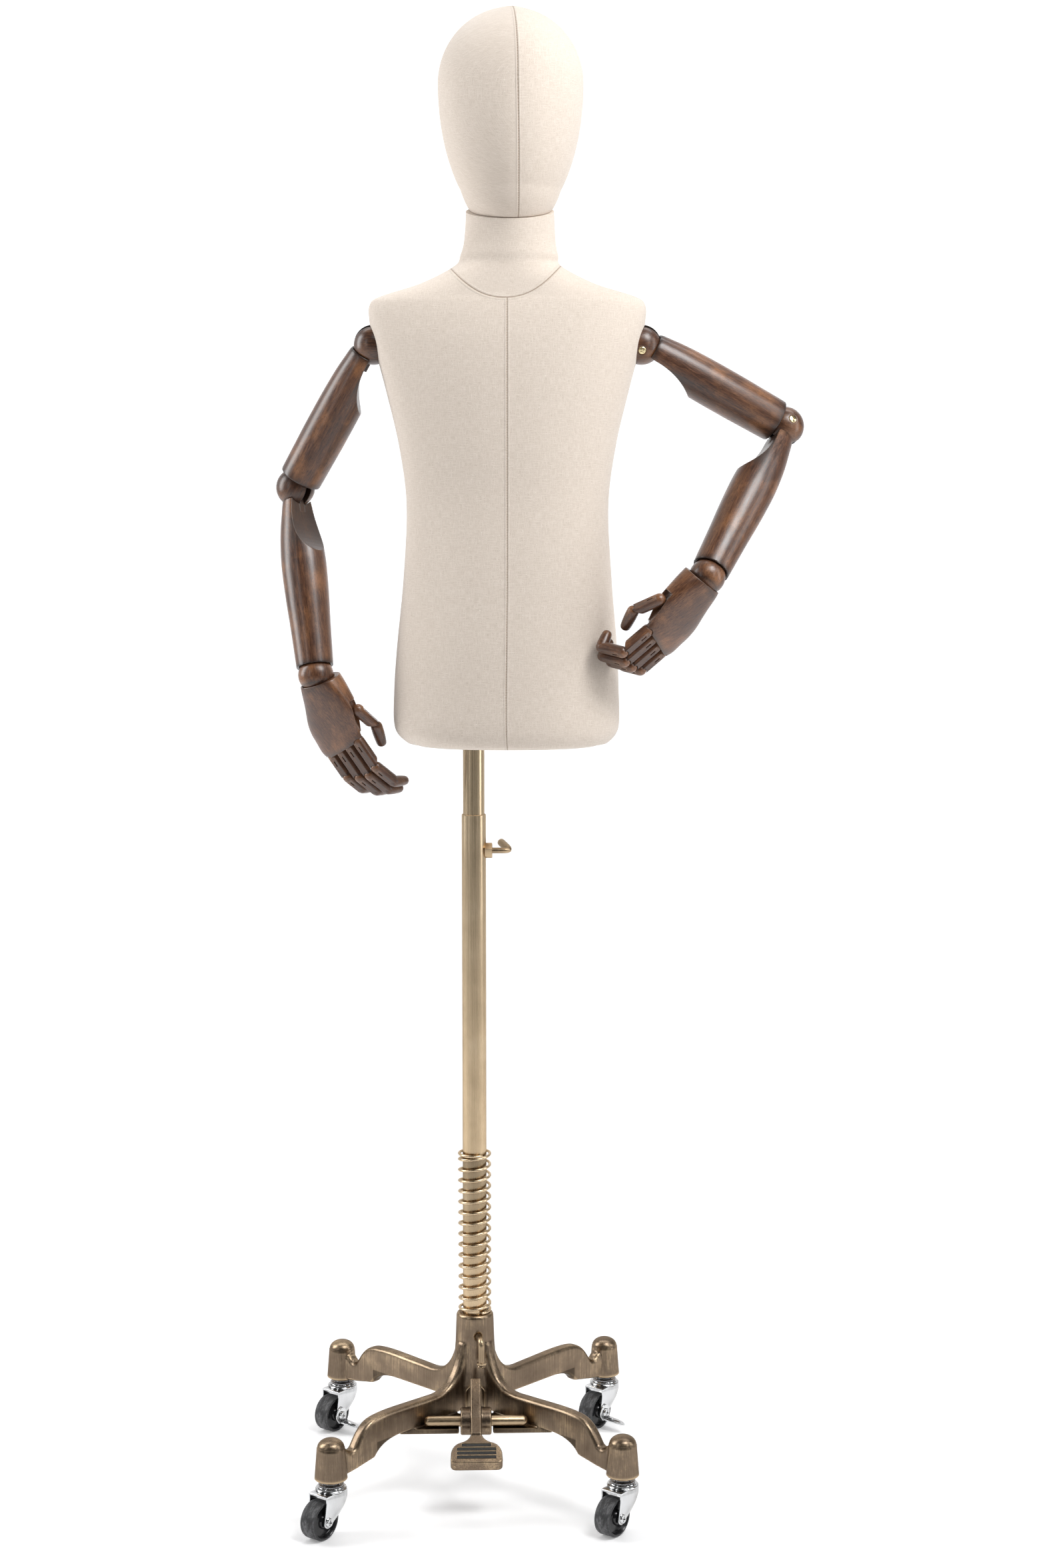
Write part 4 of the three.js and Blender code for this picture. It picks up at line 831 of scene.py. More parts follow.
def caster_fork(braked):
    """The raceway and the bent plate with its two cheeks, and the axle with its slotted head."""
    gap, thick, rivet = CASTER.gap, CASTER.thick, STEM.rivet + 0.3
    outer = gap + thick
    race = turned([
        (rivet, 45.6), (9, 45.6), (12, 46.0), (14.6, 46.9), (15.8, 48.2), (16, 49.2), (15.4, 50.0),
        (13.4, 50.2), (13.4, 50.9), (14.0, 51.3), (13.6, 52.0), (11, 52.4), (rivet, 52.4), (rivet, 45.6),
    ])
    top = pillow([(-CASTER.back, -outer), (11, -outer), (11, outer), (-CASTER.back, outer)], 1, 0.4)
    cheek = upright(pillow(cheek_outline(), thick / 2, 0.35, steps=2))
    sides = [moved(cheek, shifted(0, sign * (gap + thick / 2), 0)) for sign in (-1, 1)]
    near = outer + (2.6 if braked else 0)
    axle = moved(turned([
        (0, -outer - 2), (3.4, -outer - 2), (4.3, -outer - 1.4), (4.6, -outer - 0.6), (4.6, -outer + 0.2),
        (CASTER.axle, -outer + 0.2), (CASTER.axle, near), (4.6, near), (4.6, near + 1), (4, near + 2.2),
        (0, near + 2.2),
    ], 48), shifted(-CASTER.trail, 0, CASTER.axle_z) @ turned_about(90, "X"))
    slots = [
        moved(box(*spans), shifted(-CASTER.trail, -near - 2.1, CASTER.axle_z) @ turned_about(20, "Y"))
        for spans in (((-2.6, 2.6), (-0.9, 0.9), (-0.55, 0.55)), ((-0.55, 0.55), (-0.9, 0.9), (-2.6, 2.6)))
    ]
    bores = [rod(rivet, 40, 60), rod(7, 40, 45.7)]
    body = carved(race, [moved(top, shifted(0, 0, 46.6)), *sides], bores, bevel=0.25)
    return body, carved(axle, removed=slots)


def race_gap():
    """The dark toothed ring that shows between the raceway's plates."""
    teeth, root, crest = 28, 12.1, 12.9
    outline = []
    for k in range(2 * teeth):
        radius, angle = crest if k % 2 else root, math.pi * k / teeth
        outline.append((radius * math.cos(angle), radius * math.sin(angle)))
    return carved(prism(outline, 52.5, 53.4), removed=[rod(9.2, 50, 56)])


def caster_wheel():
    half, bore, radius = CASTER.half, CASTER.axle + 0.3, CASTER.radius

    def side(sign):
        return [
            (bore, sign * (half - 0.5)), (6.4, sign * (half - 0.5)), (7, sign * (half - 1.1)),
            (7.8, sign * (half - 3.6)),
            (8.6, sign * (half - 4)), (14.9, sign * (half - 4)), (15.6, sign * (half - 3.4)),
            (16.1, sign * (half - 0.8)),
            (16.8, sign * half), (radius - 1.4, sign * half), (radius - 0.5, sign * (half - 0.5)),
            (radius, sign * (half - 1.8)),
        ]

    profile = [*side(-1), *reversed(side(1)), (bore, -(half - 0.5))]
    mesh = mesh_of(moved(turned(profile, 96), turned_about(90, "X")))
    return tagged(mesh, tread=lambda x, y, z: np.clip(np.hypot(x, z) - 18, 0, 1))


def caster_brake():
    near = CASTER.gap + CASTER.thick + 0.3
    arc = [(8.6 * math.cos(a), 8.6 * math.sin(a)) for a in np.linspace(-0.35, math.pi + 0.7, 26)]
    disc = upright(moved(pillow(arc + [(-4, -8.6), (7, -8.6)], 0.9, 0.3, steps=2), shifted(0, 0, near + 0.9)))
    blade_line = outline_of((-4.5, 0), (6.5, 0), ((6.5, -14), (6, -22), (1.5, -27)),
                            ((0.4, -28.4), (-0.8, -27)), ((-4, -22), (-4.5, -12), (-4.5, 0)))
    blade = moved(pillow(blade_line[:-1], 0.9, 0.4, steps=3), shifted(0, -near, -6.3) @ turned_about(5, "X"))
    rib = swept([(1, -near - 4, -5.7), (0.9, -near - 12, -6.4), (0.6, -near - 21, -7.2)], 0.9, 10)
    return carved(disc, [blade, rib], [moved(rod(CASTER.axle + 0.3, -30, 30), turned_about(90, "X"))])


def build_casters():
    stem, gap_ring = caster_stem(), race_gap()
    for corner in CORNERS:
        braked = corner.startswith("r")
        pivot = point(f"swivel_{corner}")
        place = Matrix.Translation((pivot.x, pivot.y, POLE.z)) @ Matrix.Rotation(CASTER_TURN, 4, "Z")
        piece(f"stem_{corner}", stem, place, "base", STEEL, [f"caster_stem_{corner}"])
        body, axle = caster_fork(braked)
        fork = f"caster_{corner}"
        piece(f"fork_{corner}", body, place, fork, ZINC, [f"caster_fork_{corner}"], 30)
        piece(f"axle_{corner}", axle, place, fork, ZINC)
        piece(f"race_gap_{corner}", gap_ring.copy(), place, fork, STEEL, crease=20)
        hub = place @ shifted(-CASTER.trail * MM, 0, CASTER.axle_z * MM)
        piece(f"wheel_{corner}", caster_wheel(), hub, f"wheel_{corner}", RUBBER,
              [f"caster_wheel_{corner}"])
        if braked:
            piece(f"brake_plate_{corner}", caster_brake(), hub, f"brake_{corner}", ZINC,
                  [f"caster_brake_{corner}"], 30)


# ---------------------------------------------------------------- poles
def spring_path():
    """A right-handed coil whose last turns lie flat."""
    steps = 28 * SPRING.turns
    path = []
    for k in range(steps + 1):
        t = k / steps
        closed = 0.8 / SPRING.turns
        rise = min(max((t - closed) / (1 - 2 * closed), 0), 1)
        angle = 2 * math.pi * SPRING.turns * t - math.pi / 3
        flat = 3.2 * min(1, t / closed)
        height = SPRING.foot + flat + rise * (SPRING.top - SPRING.foot - 3.2)
        path.append((SPRING.radius * math.cos(angle), SPRING.radius * math.sin(angle), height))
    return path


def tube(outer, inner, low, high, steps=(), rim=0.7):
    """A tube with rounded rims, and extra rings at the heights in steps."""
    return turned([
        (inner + rim * 0.4, low), (outer - rim, low), (outer, low + rim), *[(outer, z) for z in steps],
        (outer, high - rim), (outer - rim, high),
        (inner + rim * 0.4, high), (inner, high - rim), (inner, low + rim), (inner + rim * 0.4, low),
    ], 96)


def pole_nut():
    """A hexagon nut seated on the tube, its corners chamfered."""
    flat = POLE_NUT.across / math.sqrt(3)
    corners = [math.pi * k / 3 + 0.2 for k in range(6)]
    hexagon = [(flat * math.cos(a), flat * math.sin(a)) for a in corners]
    seat = LOWER_POLE.radius - 1.4
    return carved(prism(hexagon, seat, seat + POLE_NUT.thick + 1.1), bevel=0.7)


def build_poles():
    lower = pole_frame()
    inside_spring = (SPRING.foot - 2, SPRING.foot, SPRING.top, SPRING.top + 3)
    lower_tube = tube(LOWER_POLE.radius, LOWER_POLE.inner, LOWER_POLE.foot, LOWER_POLE.top, inside_spring)

    # Painted shade: the tube inside the coil spring is darkened 55% towards near-black.
    def painted_coil_shade(x, y, z):
        return 0.55 * ((z >= SPRING.foot) & (z <= SPRING.top))

    piece("lower_tube", tagged(mesh_of(lower_tube), dark=painted_coil_shade), lower, "lower_pole", SATIN,
          ["lower_pole"])
    side = pole_frame(z=POLE_SCREW_Z) @ turned_about(90, "Y")
    piece("tube_nut", pole_nut(), side, "lower_pole", CAST, crease=30)
    reach, handle = POLE_SCREW.reach, POLE_SCREW.handle
    path = bent_rod((UPPER_POLE.radius + 0.3, 0, 0), (reach, 0, 0), (reach - 9, handle, 4))
    swell = np.interp(np.arange(len(path)), (0.45 * len(path), 0.7 * len(path)), (1, POLE_SCREW.swell))
    screw = swept(path, POLE_SCREW.radius * swell)
    piece("tube_screw", screw, pole_frame(z=POLE_SCREW_Z), "pole_screw", CAST,
          ["pole_lock_screw"])
    outer = UPPER_POLE.radius
    upper_tube = tube(outer, outer - 1.4, UPPER_POLE.foot, UPPER_POLE.top)
    piece("upper_tube", upper_tube, lower, "upper_pole", SATIN, ["upper_pole"])
    wire = swept(spring_path(), SPRING.wire, 12)
    coil = piece("coil_spring", wire, lower, "base", SATIN, ["spring"])
    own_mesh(coil)


# ---------------------------------------------------------------- torso and head
# Sections of the cover from its foot to the top of the neck, measured from the torso's middle:
# height, half width, depth to the front, depth to the back, shift across, shift back, squareness.
TORSO = np.array([
    (783.6, 93, 61, 63, 0, 0, 2.3), (786, 102, 71, 74, 0, 0, 2.3), (801, 112.6, 79, 83, -1, 0, 2.3),
    (838, 112.8, 80, 84, -1.2, 0, 2.3), (885, 110, 79, 80, -0.6, 0, 2.3), (950, 104, 73, 67, 0, 0, 2.3),
    (1025, 100.3, 67, 58, 0, 0, 2.3), (1085, 107.5, 69, 61.5, 0, 0, 2.3), (1145, 121.5, 70, 67, 0, 0, 2.3),
    (1185, 132, 67, 68, 0, 0, 2.3), (1210, 136.8, 61, 66, 0, 0, 2.3), (1226, 136.4, 55, 63, 0, 0, 2.3),
    (1234, 126, 51, 59, 0, 0, 2.3), (1247, 85, 47, 55, 0, 0, 2.3), (1264, 52, 43, 47, 0.5, 0, 2.1),
    (1275, 47, 42, 43, 2, -2, 2), (1295, 43.2, 40, 39.5, 2.6, -5, 2), (1350, 40.8, 39, 39, 3, -16, 2),
])
NECK_SEAM = Sizes(side=1264, middle=-2.5, half=56.5, front_drop=34, back_rise=20)


def neck_seam_height(x, y):
    """The height of the seam round the neck's foot: a deep U in front and a shallow arch behind."""
    share = np.clip(np.abs(x - NECK_SEAM.middle) / NECK_SEAM.half, 0, 1)
    front = -NECK_SEAM.front_drop * (1 - share**2.2)
    back = NECK_SEAM.back_rise * (1 - share**2)
    return NECK_SEAM.side + np.where(y < 0, front, back)


def neck_distance(x, y, z):
    """Distance from the neck's seam, nearly square to it where it climbs."""
    share = np.clip(np.abs(x - NECK_SEAM.middle) / NECK_SEAM.half, 0, 1)
    slope = 1.4 * NECK_SEAM.front_drop * share / 28
    return np.clip((z - neck_seam_height(x, y)) / np.sqrt(1 + slope**2), -9, 9)


def torso_seam(x, y, z):
    """Distance to the nearest upright seam: down the middle of the front and back, and down the sides."""
    aside = x - np.interp(z, TORSO[:, 0], TORSO[:, 4])
    middle = np.where(z < neck_seam_height(x, y) + 0.5, np.abs(aside), 9)
    sides = np.where((z < 1165) & (np.abs(x) > 60), np.abs(y), 9)
    return np.clip(np.minimum(middle, sides), 0, 9)


def torso_cover():
    """The stretched cover: level rings that tilt above the shoulders to meet the neck's slanting top."""
    rows = spline(TORSO, 14)
    angles = np.linspace(-math.pi, math.pi, 288, endpoint=False)
    c, s = np.cos(angles), np.sin(angles)

    def surface(height):
        half, front, back, x, y, power = (np.interp(height, rows[:, 0], rows[:, k]) for k in range(1, 7))
        deep = np.where(s < 0, front, back) + COVER
        return (x + (half + COVER) * np.sign(c) * np.abs(c) ** (2 / power),
                y + deep * np.sign(s) * np.abs(s) ** (2 / power))

    top = NECK_TOP[2] - math.tan(NECK_TILT) * NECK_TOP[1]
    levels = np.concatenate([
        np.linspace(TORSO[0, 0], 802, 14)[:-1], np.linspace(802, 1180, 80)[:-1],
        np.linspace(1180, 1226, 22)[:-1],
        np.linspace(1226, 1290, 90)[:-1], np.linspace(1290, top, 24),
    ])
    rings = []
    for level in levels:
        climb = np.interp(level, (1275, top), (0, math.tan(NECK_TILT)))
        z = np.full(len(angles), float(level))
        for _ in range(10):
            x, y = surface(z)
            z = level + climb * y
        rings.append(np.column_stack([x, y, z]))
    middle = rings[0].mean(0)
    foot = []
    for share, drop in ((0.9, 1.6), (0.975, 1.1)):
        inner = middle + (rings[0] - middle) * (share, share, 1)
        inner[:, 2] -= drop
        foot.append(inner)
    return [*foot, *rings], int(np.argmin(np.abs(angles + math.pi / 2)))


def cloth_mesh(rings, front):
    """A lofted cover with cloth UVs in metres, counted across from its front column and up from its foot."""
    mesh = mesh_of(lofted(rings))
    across = []
    for ring in rings:
        step = np.linalg.norm(np.roll(ring, -1, 0) - ring, axis=1)
        arc = np.concatenate([[0], np.cumsum(step)[:-1]])
        across.append(arc - arc[front])
    rises = [0.0] + [np.linalg.norm(b - a, axis=1).mean() for a, b in zip(rings, rings[1:])]
    along = np.repeat(np.cumsum(rises), len(rings[0]))
    layer = mesh.uv_layers.new(name="cloth")
    loops = np.zeros(len(mesh.loops), np.int32)
    mesh.loops.foreach_get("vertex_index", loops)
    cloth = np.column_stack([np.concatenate(across)[loops], along[loops]]) * MM
    layer.data.foreach_set("uv", cloth.ravel().astype(np.float32))
    return mesh


def build_torso():
    place = pole_frame(x=TORSO_X)
    room = ball(BALL.radius + SEAT, 96)
    rooms = [moved(room, shifted(side * SHOULDER.x, 0, SHOULDER.z)) for side in (-1, 1)]
    bore = moved(rod(15.3, 700, 861, 96), shifted(-TORSO_X, 0, 0))
    mesh = carved(cloth_mesh(*torso_cover()), removed=[*rooms, bore])
    tagged(mesh, seam=torso_seam, neck=neck_distance)
    form = piece("linen_torso", mesh, place, "torso", LINEN, ["torso_form", "torso_cover"], 50)
    inner = UPPER_POLE.radius + 0.3
    socket = turned([
        (inner, 782.6), (14.4, 782.6), (15, 783.2), (15, 860), (0, 860), (0, 853), (inner, 853),
        (inner, 782.6),
    ], 96)
    piece("socket", socket, pole_frame(), "torso", STEEL, ["pole_socket"])
    on_neck = pole_frame(*NECK_TOP) @ Matrix.Rotation(NECK_TILT, 4, "X")
    piece("neck_dowel", rod(8, -28, 26, 64, 1.0), on_neck, "torso", WOOD, ["neck_peg"])


def build_head():
    """An egg in two panels joined by one seam over the crown, trimmed to sit on the neck."""
    grown = Sizes(half=HEAD.half + COVER, front=HEAD.front + COVER, back=HEAD.back + COVER)

    def bearing(angle):
        """The section's own angle for a direction from its middle."""
        deep = grown.front if math.sin(angle) < 0 else grown.back
        return math.atan2(math.sin(angle) / deep, math.cos(angle) / grown.half)

    front, back = bearing(-math.pi / 2 + HEAD_SEAM.turn), bearing(math.pi / 2 + HEAD_SEAM.turn)
    angles = np.concatenate([
        np.linspace(front, back, 120, endpoint=False),
        np.linspace(back, front + 2 * math.pi, 120, endpoint=False),
    ])
    c, s = np.cos(angles), np.sin(angles)
    deep = np.where(s < 0, grown.front, grown.back)

    def surface(climb):
        height = np.sin(climb)
        share = np.cos(climb) + HEAD.jaw * np.clip(-height - 0.72, 0, 1)
        tall = np.where(height < 0, HEAD.below, HEAD.above) + COVER
        return np.column_stack([
            HEAD.x + grown.half * share * c, HEAD.y - 3 * height + deep * share * s,
            HEAD.widest + height * tall,
        ])

    def above_neck(points):
        normal = np.array([0, -math.sin(NECK_TILT), math.cos(NECK_TILT)])
        return (points - np.array(NECK_TOP)) @ normal - 0.7

    def across(x, y, z):
        """Distance from the seam, which sways to one side towards the chin."""
        height = (z - HEAD.widest) / np.where(z < HEAD.widest, HEAD.below, HEAD.above)
        sway = HEAD_SEAM.sway * np.clip(-height, 0, 1) ** 1.3
        aside = x - HEAD.x - np.where(y < HEAD.y, sway, 0)
        behind = y - HEAD.y + 3 * height
        return aside * math.cos(HEAD_SEAM.turn) + behind * math.sin(HEAD_SEAM.turn)

    low, high = np.full(len(angles), -1.5), np.full(len(angles), 0.0)
    for _ in range(40):
        middle = (low + high) / 2
        below = above_neck(surface(middle)) < 0
        low, high = np.where(below, middle, low), np.where(below, high, middle)
    rings = []
    for share in np.concatenate([[0, 0.006, 0.016], np.linspace(0.03, 1, 168)]):
        climb = high + (math.pi / 2 - 0.02 - high) * share
        ring = surface(climb)
        ridge = HEAD_SEAM.ridge * np.exp(-((across(*ring.T) / 9) ** 2)) * np.clip(share * 2 - 0.7, 0, 1)
        centre = np.array([HEAD.x, HEAD.y, HEAD.widest - 20])
        outward_way = (ring - centre) / np.linalg.norm(ring - centre, axis=1)[:, None]
        ring = ring + outward_way * ridge[:, None]
        if share < 0.012:
            inset = 1.0 if share == 0 else 0.25
            ring[:, :2] -= outward_way[:, :2] * inset
        rings.append(ring)

    def seam(x, y, z):
        return np.clip(across(x, y, z), -9, 9)

    mesh = tagged(cloth_mesh(rings, 0), seam=seam, neck=lambda x, y, z: 9 + nowhere(x, y, z))
    egg = piece("linen_head", mesh, pole_frame(), "head", LINEN, ["head_form", "head_cover"], 50)


# ---------------------------------------------------------------- arms
def wooden(name, mesh, place, body, replaced, dark=nowhere, cut=nowhere):
    """A wooden piece, with rules for where it is dark and where its cut faces are darkened as painted shade.
    """
    return piece(name, tagged(mesh, dark=dark, cut=cut), place, body, WOOD, replaced, 60)


def near(value, where, width):
    """1 at a place, falling smoothly to 0 a width away."""
    return np.clip(1 - np.abs(value - where) / width, 0, 1) ** 1.5


def slotted_ball():
    room, radius = BALL.tongue_radius + 0.6, BALL.radius
    slot = box((-25, 25), (-BALL.slot, BALL.slot), (-room, 25))
    peg = rod(BALL.peg, -BALL.peg_reach + 1, -radius + 3)
    well = moved(rod(4.6, radius - 1.3, radius + 3), turned_about(90, "X"))
    return carved(ball(radius, 96), [peg], [slot, well], voxel=0.5, relax=1)


def screw_head():
    """A small cross-head screw over the ball's pin."""
    radius = BALL.radius
    dome = turned([(0, radius - 2.4), (3.9, radius - 2.4), (3.9, radius - 1.0), (3.4, radius - 0.5),
                   (1.9, radius - 0.1), (0, radius)], 48)
    long, short, deep = (-2.1, 2.1), (-0.45, 0.45), (radius - 0.8, radius + 1)
    cross = [box(long, short, deep), box(short, long, deep)]
    turn = turned_about(90, "X") @ turned_about(35, "Z")
    return carved(moved(dome, turn), removed=[moved(bar, turn) for bar in cross])


def tongue(reach):
    radius, half = BALL.tongue_radius - 0.3, BALL.tongue
    disc = moved(rod(radius, -half, half, 64, 0.4), turned_about(90, "X"))
    return [disc, box((2 - radius, radius - 2), (-half, half), (0, reach))]


def scoop(depth, low, high, radius):
    middle, tall = (low + high) / 2, (high - low) / 2
    line = outline_of((depth, low), (depth, middle), ((depth + 2, middle + 0.62 * tall), (radius + 2, high)),
                      (radius + 14, high), (radius + 14, low))
    return upright(prism(line, -30, 30))


def limb(profile, length, foot_radius, scoop_shape, bore):
    """A turned limb with its tongue, a round seat at each end and its scooped inner side."""
    curve = spline(profile, 10)
    body = turned([(0, curve[0, 1])] + [tuple(p) for p in curve] + [(0, curve[-1, 1])], 96)
    seats = [ball(BALL.radius + SEAT, 88), moved(ball(foot_radius + SEAT, 88), shifted(0, 0, length))]
    off_the_body = turned_about(1.1, "Z")  # keeps a seat's edges off the body's, for a clean cut
    cut = carved(body, [], [scoop_shape, *[moved(seat, off_the_body) for seat in seats], bore])
    return carved(cut, tongue(28), voxel=0.62, relax=2)


def build_arm(side):
    shoulder, lift = point(f"shoulder_lift_{side}"), axis(f"shoulder_lift_{side}")
    elbow, bend = point(f"elbow_bend_{side}"), axis(f"elbow_bend_{side}")
    wrist = point(f"wrist_bend_{side}")
    balls = {
        "shoulder": frame_at(shoulder, axis(f"shoulder_swing_{side}"), lift),
        "elbow": frame_at(elbow, elbow - shoulder, bend),
    }
    for name, place in balls.items():
        # Painted shade: the slot's walls and rim are darkened up to 80% towards near-black, and the rest of
        # each ball a quarter.
        wooden(f"{name}_knob_{side}", slotted_ball(), place, f"{name}_{side}", [f"{name}_ball_{side}"],
               dark=lambda x, y, z: np.maximum(near(np.abs(y), BALL.slot, 2.5) * 0.8, 0.25))
        piece(f"{name}_pin_{side}", screw_head(), place, f"{name}_{side}", GOLD, crease=30)
    upper = UPPER_ARM.length
    profile = [(17.6, UPPER_ARM.top), (18.6, 15), (19.6, 24), (21.3, 42), (22.4, 70), (22.6, 105),
               (22.2, 135), (21.8, upper - UPPER_ARM.foot - 3), (21.2, upper - UPPER_ARM.foot - 0.6),
               (20.6, upper - UPPER_ARM.foot)]
    bore = rod(BALL.peg + 0.3, upper - BALL.peg_reach, upper)
    mesh = limb(profile, upper, BALL.radius, scoop(3, -20, 71, 22.5), bore)
    # The cut rule paints shade on the scoop's flat face.
    wooden(f"arm_upper_{side}", mesh, frame_at(shoulder, elbow - shoulder, lift), f"upper_arm_{side}",
           [f"upper_arm_{side}"],
           dark=lambda x, y, z: np.maximum(near(z, 12, 10), near(z, upper - 11, 9)) * 0.85,
           cut=lambda x, y, z: (x > 2.5) * (z > 13) * (z < 71) * np.clip((22.4 - np.hypot(x, y)) / 0.8, 0, 1))
    fore = FOREARM.length
    profile = [(13.8, FOREARM.top), (15, 15), (17, 26), (20.8, 50), (22.8, 76), (22.9, 96), (22, 122),
               (20.4, 152), (18.9, fore - FOREARM.foot - 2.5), (18.4, fore - FOREARM.foot - 0.6),
               (17.8, fore - FOREARM.foot)]
    bore = rod(WRIST.peg + 0.3, fore - WRIST.peg_reach - 1, fore)
    mesh = limb(profile, fore, WRIST.radius, scoop(6.2, -20, 76, 22.5), bore)
    # The cut rule paints shade on the scoop's flat face.
    wooden(f"arm_lower_{side}", mesh, frame_at(elbow, wrist - elbow, bend), f"forearm_{side}",
           [f"forearm_{side}"],
           dark=lambda x, y, z: np.maximum(near(z, 11, 10), near(z, fore - 9, 8)) * 0.85,
           cut=lambda x, y, z: (x > 5.8) * (z > 12) * (z < 76) * np.clip((22.7 - np.hypot(x, y)) / 0.8, 0, 1))
    peg = rod(WRIST.peg, -WRIST.peg_reach, -WRIST.radius + 3)
    mesh = carved(ball(WRIST.radius, 96), [peg], voxel=0.5, relax=1)
    wooden(f"wrist_knob_{side}", mesh, frame_at(wrist, wrist - elbow, axis(f"wrist_bend_{side}")),
           f"wrist_{side}",
           [f"wrist_ball_{side}"], dark=lambda x, y, z: np.maximum(near(z, -11, 5), near(z, 11, 4)) * 0.7)


# ---------------------------------------------------------------- hands
# Sections of the palm from the wrist to the knuckles: height, middle, half width, half thickness.
PALM_SECTIONS = [
    (-79, -23, 19, 17.4), (-72, -22, 22, 18.6), (-58, -18, 27, 17), (-42, -12, 32, 15), (-31, -9, 33.5, 13.6),
    (-22, -6, 32, 12.2), (-9, -0.6, 28.4, 10.2), (0, 0, 26, 8.6),
]


def palm():
    wrist_x = -PALM.offset
    angles = np.linspace(0, 2 * math.pi, 96, endpoint=False)
    c, s = np.cos(angles), np.sin(angles)
    rings = [
        at_height(np.column_stack([
            x + half * np.sign(c) * np.abs(c) ** 0.8, thick * np.sign(s) * np.abs(s) ** 0.8,
        ]), z)
        for z, x, half, thick in spline(PALM_SECTIONS, 8)
    ]
    lean = math.degrees(math.atan2(PALM.offset, PALM.length))
    at_wrist = shifted(wrist_x, 0, -PALM.length)
    at_thumb = shifted(THUMB.across, THUMB.palmward, THUMB.along)
    removed = [
        moved(box((-60, 60), (-60, 60), (-60, WRIST.cut)), at_wrist @ turned_about(lean, "Y")),
        moved(ball(WRIST.radius + SEAT, 96), at_wrist),
        box((-40, 40), (0.6, 30), (-FINGER.radius - 1, 10)),
        *[moved(ball(FINGER.socket, 48), shifted(finger.across, 0, 0)) for finger in FINGERS.values()],
        moved(rod(7.6, -12, 60), at_thumb @ turned_about(12, "Y")),
        moved(ball(7.4, 48), at_thumb),
    ]
    return carved(lofted(rings), [], removed, voxel=0.5, relax=3)


def root_profile(radius):
    return [(radius * math.sin(a), -radius * math.cos(a)) for a in np.linspace(0, math.pi / 2, 9)[:-1]]


def back_flat(radius, length):
    """The flat planed along the back of each finger bone."""
    return box((-20, 20), (-20, -0.82 * radius), (1.5, length + 40))


def slit(radius, low, high):
    return box((-0.65, 0.65), (-20, -0.55 * radius), (low, high))


def bone(length, radius, next_radius, lean):
    body = turned([*root_profile(radius), (radius, 0), (radius, length + 4), (0, length + 4)], 48)
    at_end = shifted(0, 0, length)
    end = moved(box((-20, 20), (-20, 20), (-FINGER.end_cut, 20)), at_end @ turned_about(-lean, "X"))
    seat = moved(ball(next_radius + 0.6, 48), at_end)
    removed = [end, seat, back_flat(radius, length), slit(radius, 5, 11.5)]
    return carved(body, [], removed, voxel=0.34, relax=2)


def tip_shape(length, radius):
    end = radius * FINGER.taper
    curve = spline([(radius, 0), (radius, length * 0.35), (end + 0.2, length - end * 0.8),
                    (end * 0.72, length - end * 0.2), (end * 0.35, length - 0.1)], 6)
    return turned([*root_profile(radius), *[tuple(p) for p in curve], (0, length)], 48)


def outer_finger(middle, tip, bend):
    """The middle and last bones, with a thin dark line where they meet."""
    radius = FINGER.radius - 0.3
    body = turned([*root_profile(radius), (radius, 0), (radius, middle), (0, middle)], 48)
    turn = shifted(0, 0, middle)
    end = moved(box((-20, 20), (-20, 20), (-1.5, 20)), turn @ turned_about(-bend / 2, "X"))
    first = carved(body, [], [end, back_flat(radius, middle), slit(radius, 4, 9.5)])
    last = moved(tip_shape(tip, radius - 0.3), turn @ turned_about(-bend, "X"))
    groove = moved(box((-20, 20), (-20, -radius * 0.86), (-2.0, -1.3)), turn @ turned_about(-bend / 2, "X"))
    return carved(first, [last], [groove], voxel=0.34, relax=2)


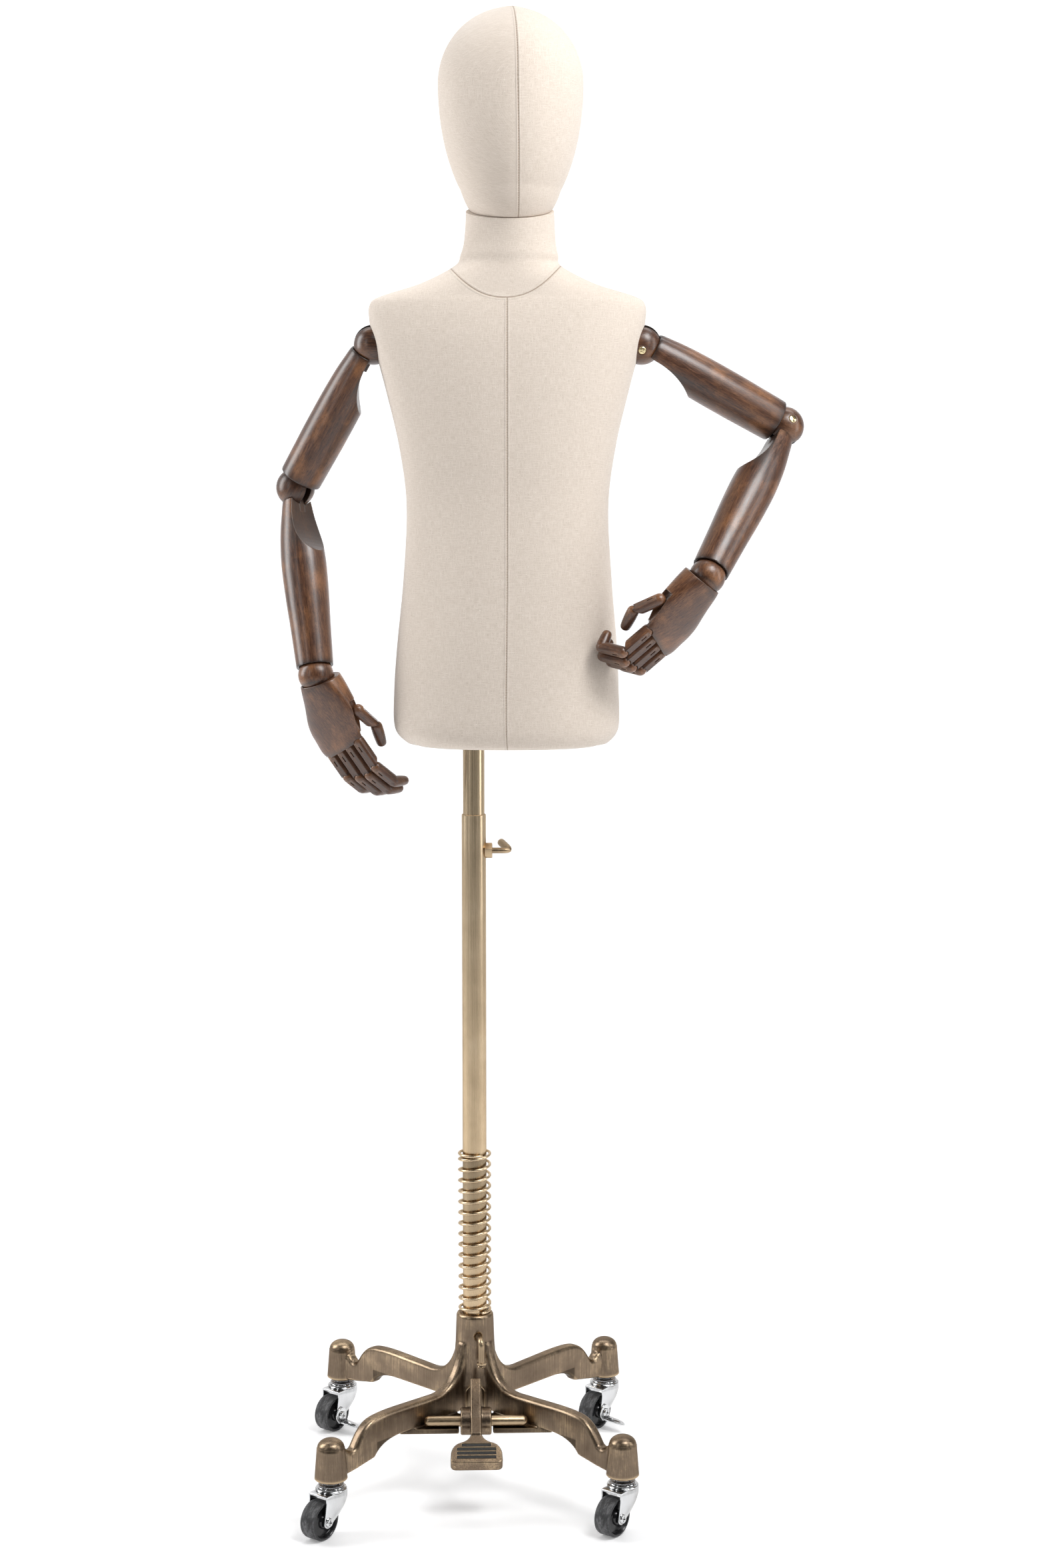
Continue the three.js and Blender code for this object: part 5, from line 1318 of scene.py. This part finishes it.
def build_hand(side):
    hand = HANDS[side]
    knuckles = {name: point(f"knuckle_{name}_{side}") for name in FINGERS}
    origin = sum(knuckles.values(), Vector()) / len(knuckles)
    along = point(f"middle_index_{side}") - knuckles["index"]
    palmward = axis(f"wrist_bend_{side}")
    place = frame_at(origin, along, palmward)
    mesh = palm()
    if side == "right":
        mesh.transform(Matrix.Diagonal((-1, 1, 1, 1)))
        mesh.flip_normals()
    # The cut rule paints shade across the palm's knuckle end, where the fingers sit.
    wooden(f"palm_block_{side}", mesh, place, f"hand_{side}", [f"palm_{side}"],
           dark=lambda x, y, z: np.maximum(near(z, -71, 6) * 0.5, near(z, 1, 4) * 0.4),
           cut=lambda x, y, z: near(z, -1, 7) * 0.9)
    # In the fingers the cut rules paint shade on the flats along the backs of the bones.
    for name, finger in FINGERS.items():
        at_knuckle = frame_at(knuckles[name], along, palmward)
        inner = bone(finger.inner, FINGER.radius, FINGER.radius - 0.3, 42)
        wooden(f"{name}_bone_{side}", inner, at_knuckle, f"{name}_inner_{side}",
               [f"finger_{name}_inner_{side}"],
               dark=lambda x, y, z: near(z, finger.inner - 3, 4) * 0.6,
               cut=lambda x, y, z: (y < -4.6) * 0.35)
        at_middle = Matrix.Translation(point(f"middle_{name}_{side}")) @ at_knuckle.to_3x3().to_4x4()
        outer = outer_finger(finger.middle, finger.tip, hand.tip_bend)
        wooden(f"{name}_tip_{side}", outer, at_middle @ turned_about(-hand.middle_bend, "X"),
               f"{name}_outer_{side}",
               [f"finger_{name}_outer_{side}"], dark=lambda x, y, z: near(z, 0, 3) * 0.3,
               cut=lambda x, y, z: (y < -4.4) * (z < finger.middle) * 0.35)
    root, tip = point(f"thumb_base_{side}"), point(f"thumb_tip_{side}")
    at_root = frame_at(root, tip - root, axis(f"thumb_base_{side}"))
    inner = bone(THUMB.inner, FINGER.radius, FINGER.radius - 0.3, 38)
    wooden(f"thumb_bone_{side}", inner, at_root @ turned_about(-90, "Z"), f"thumb_inner_{side}",
           [f"thumb_inner_{side}"],
           dark=lambda x, y, z: near(z, THUMB.inner - 3, 4) * 0.6)
    tip_slit = slit(FINGER.radius, 4, 9.5)
    outer = carved(tip_shape(THUMB.tip, FINGER.radius - 0.3), [], [tip_slit], voxel=0.34, relax=2)
    at_tip = Matrix.Translation(tip) @ at_root.to_3x3().to_4x4() @ turned_about(hand.thumb_bend, "Y")
    wooden(f"thumb_end_{side}", outer, at_tip @ turned_about(-90, "Z"), f"thumb_outer_{side}",
           [f"thumb_outer_{side}"])


# ---------------------------------------------------------------- the studio
def build_stage():
    """A seamless pale floor that curves up behind."""
    bend = STAGE.bend
    profile = [(STAGE.front, 0.0), (bend, 0.0)]
    profile += [
        (bend + bend * math.sin(a), bend - bend * math.cos(a)) for a in np.linspace(0.1, math.pi / 2, 14)
    ]
    profile += [(2 * bend, STAGE.top)]
    mesh = bpy.data.meshes.new("backdrop")
    points = [(x, y, z) for y, z in profile for x in (-STAGE.half, STAGE.half)]
    faces = [(2 * i, 2 * i + 1, 2 * i + 3, 2 * i + 2) for i in range(len(profile) - 1)]
    mesh.from_pydata(points, [], faces)
    mesh.materials.append(FLOOR)
    mesh.shade_smooth()
    floor = bpy.data.objects.new("backdrop", mesh)
    bpy.context.scene.collection.objects.link(floor)


def area_light(name, place, aim, size, power):
    light = bpy.data.lights.new(name, "AREA")
    light.shape = "RECTANGLE"
    light.size, light.size_y = size
    light.energy = power
    lamp = bpy.data.objects.new(name, light)
    lamp.location = place
    lamp.rotation_euler = (Vector(aim) - Vector(place)).to_track_quat("-Z", "Y").to_euler()
    bpy.context.scene.collection.objects.link(lamp)


def build_lights():
    middle = POLE.x + 0.03
    chest = (middle, 0, 1.2)
    area_light("high_right", (1.0, -1.0, 2.5), (middle, 0, 1.4), (0.9, 0.9), 31)
    area_light("left_rim", (-2.2, 0.1, 1.7), chest, (0.9, 2.0), 40)
    area_light("right_side", (2.0, -0.4, 1.35), chest, (0.5, 2.0), 12)
    area_light("top_front", (0.4, -1.3, 2.8), (middle, 0, 1.35), (1.2, 0.8), 8)
    area_light("right_strip", (1.7, -1.7, 1.7), chest, (0.2, 1.7), 7)
    area_light("left_strip", (-1.6, -1.6, 1.5), chest, (0.16, 1.7), 4.5)
    area_light("backdrop_wash", (0, 0.9, 3.6), (0, 3.0, 1.2), (4.0, 1.2), 66)
    world = bpy.data.worlds.new("studio")
    world.use_nodes = True
    background = world.node_tree.nodes["Background"]
    background.inputs["Color"].default_value = (1, 1, 1, 1)
    background.inputs["Strength"].default_value = 0.02
    bpy.context.scene.world = world
    bpy.context.scene.view_settings.view_transform = "Standard"


def build_camera():
    camera = bpy.data.cameras.new("camera")
    camera.lens = CAMERA.lens
    camera.sensor_width = 36
    lens = bpy.data.objects.new("camera", camera)
    lens.location = POLE + Vector(CAMERA.place) * MM
    lens.rotation_euler = (math.radians(90 - CAMERA.pitch), 0, 0)
    bpy.context.scene.collection.objects.link(lens)
    bpy.context.scene.camera = lens


# ---------------------------------------------------------------- assembly
build_camera()
build_stage()
build_lights()
build_base()
build_casters()
build_poles()
build_torso()
build_head()
for side in HANDS:
    build_arm(side)
    build_hand(side)
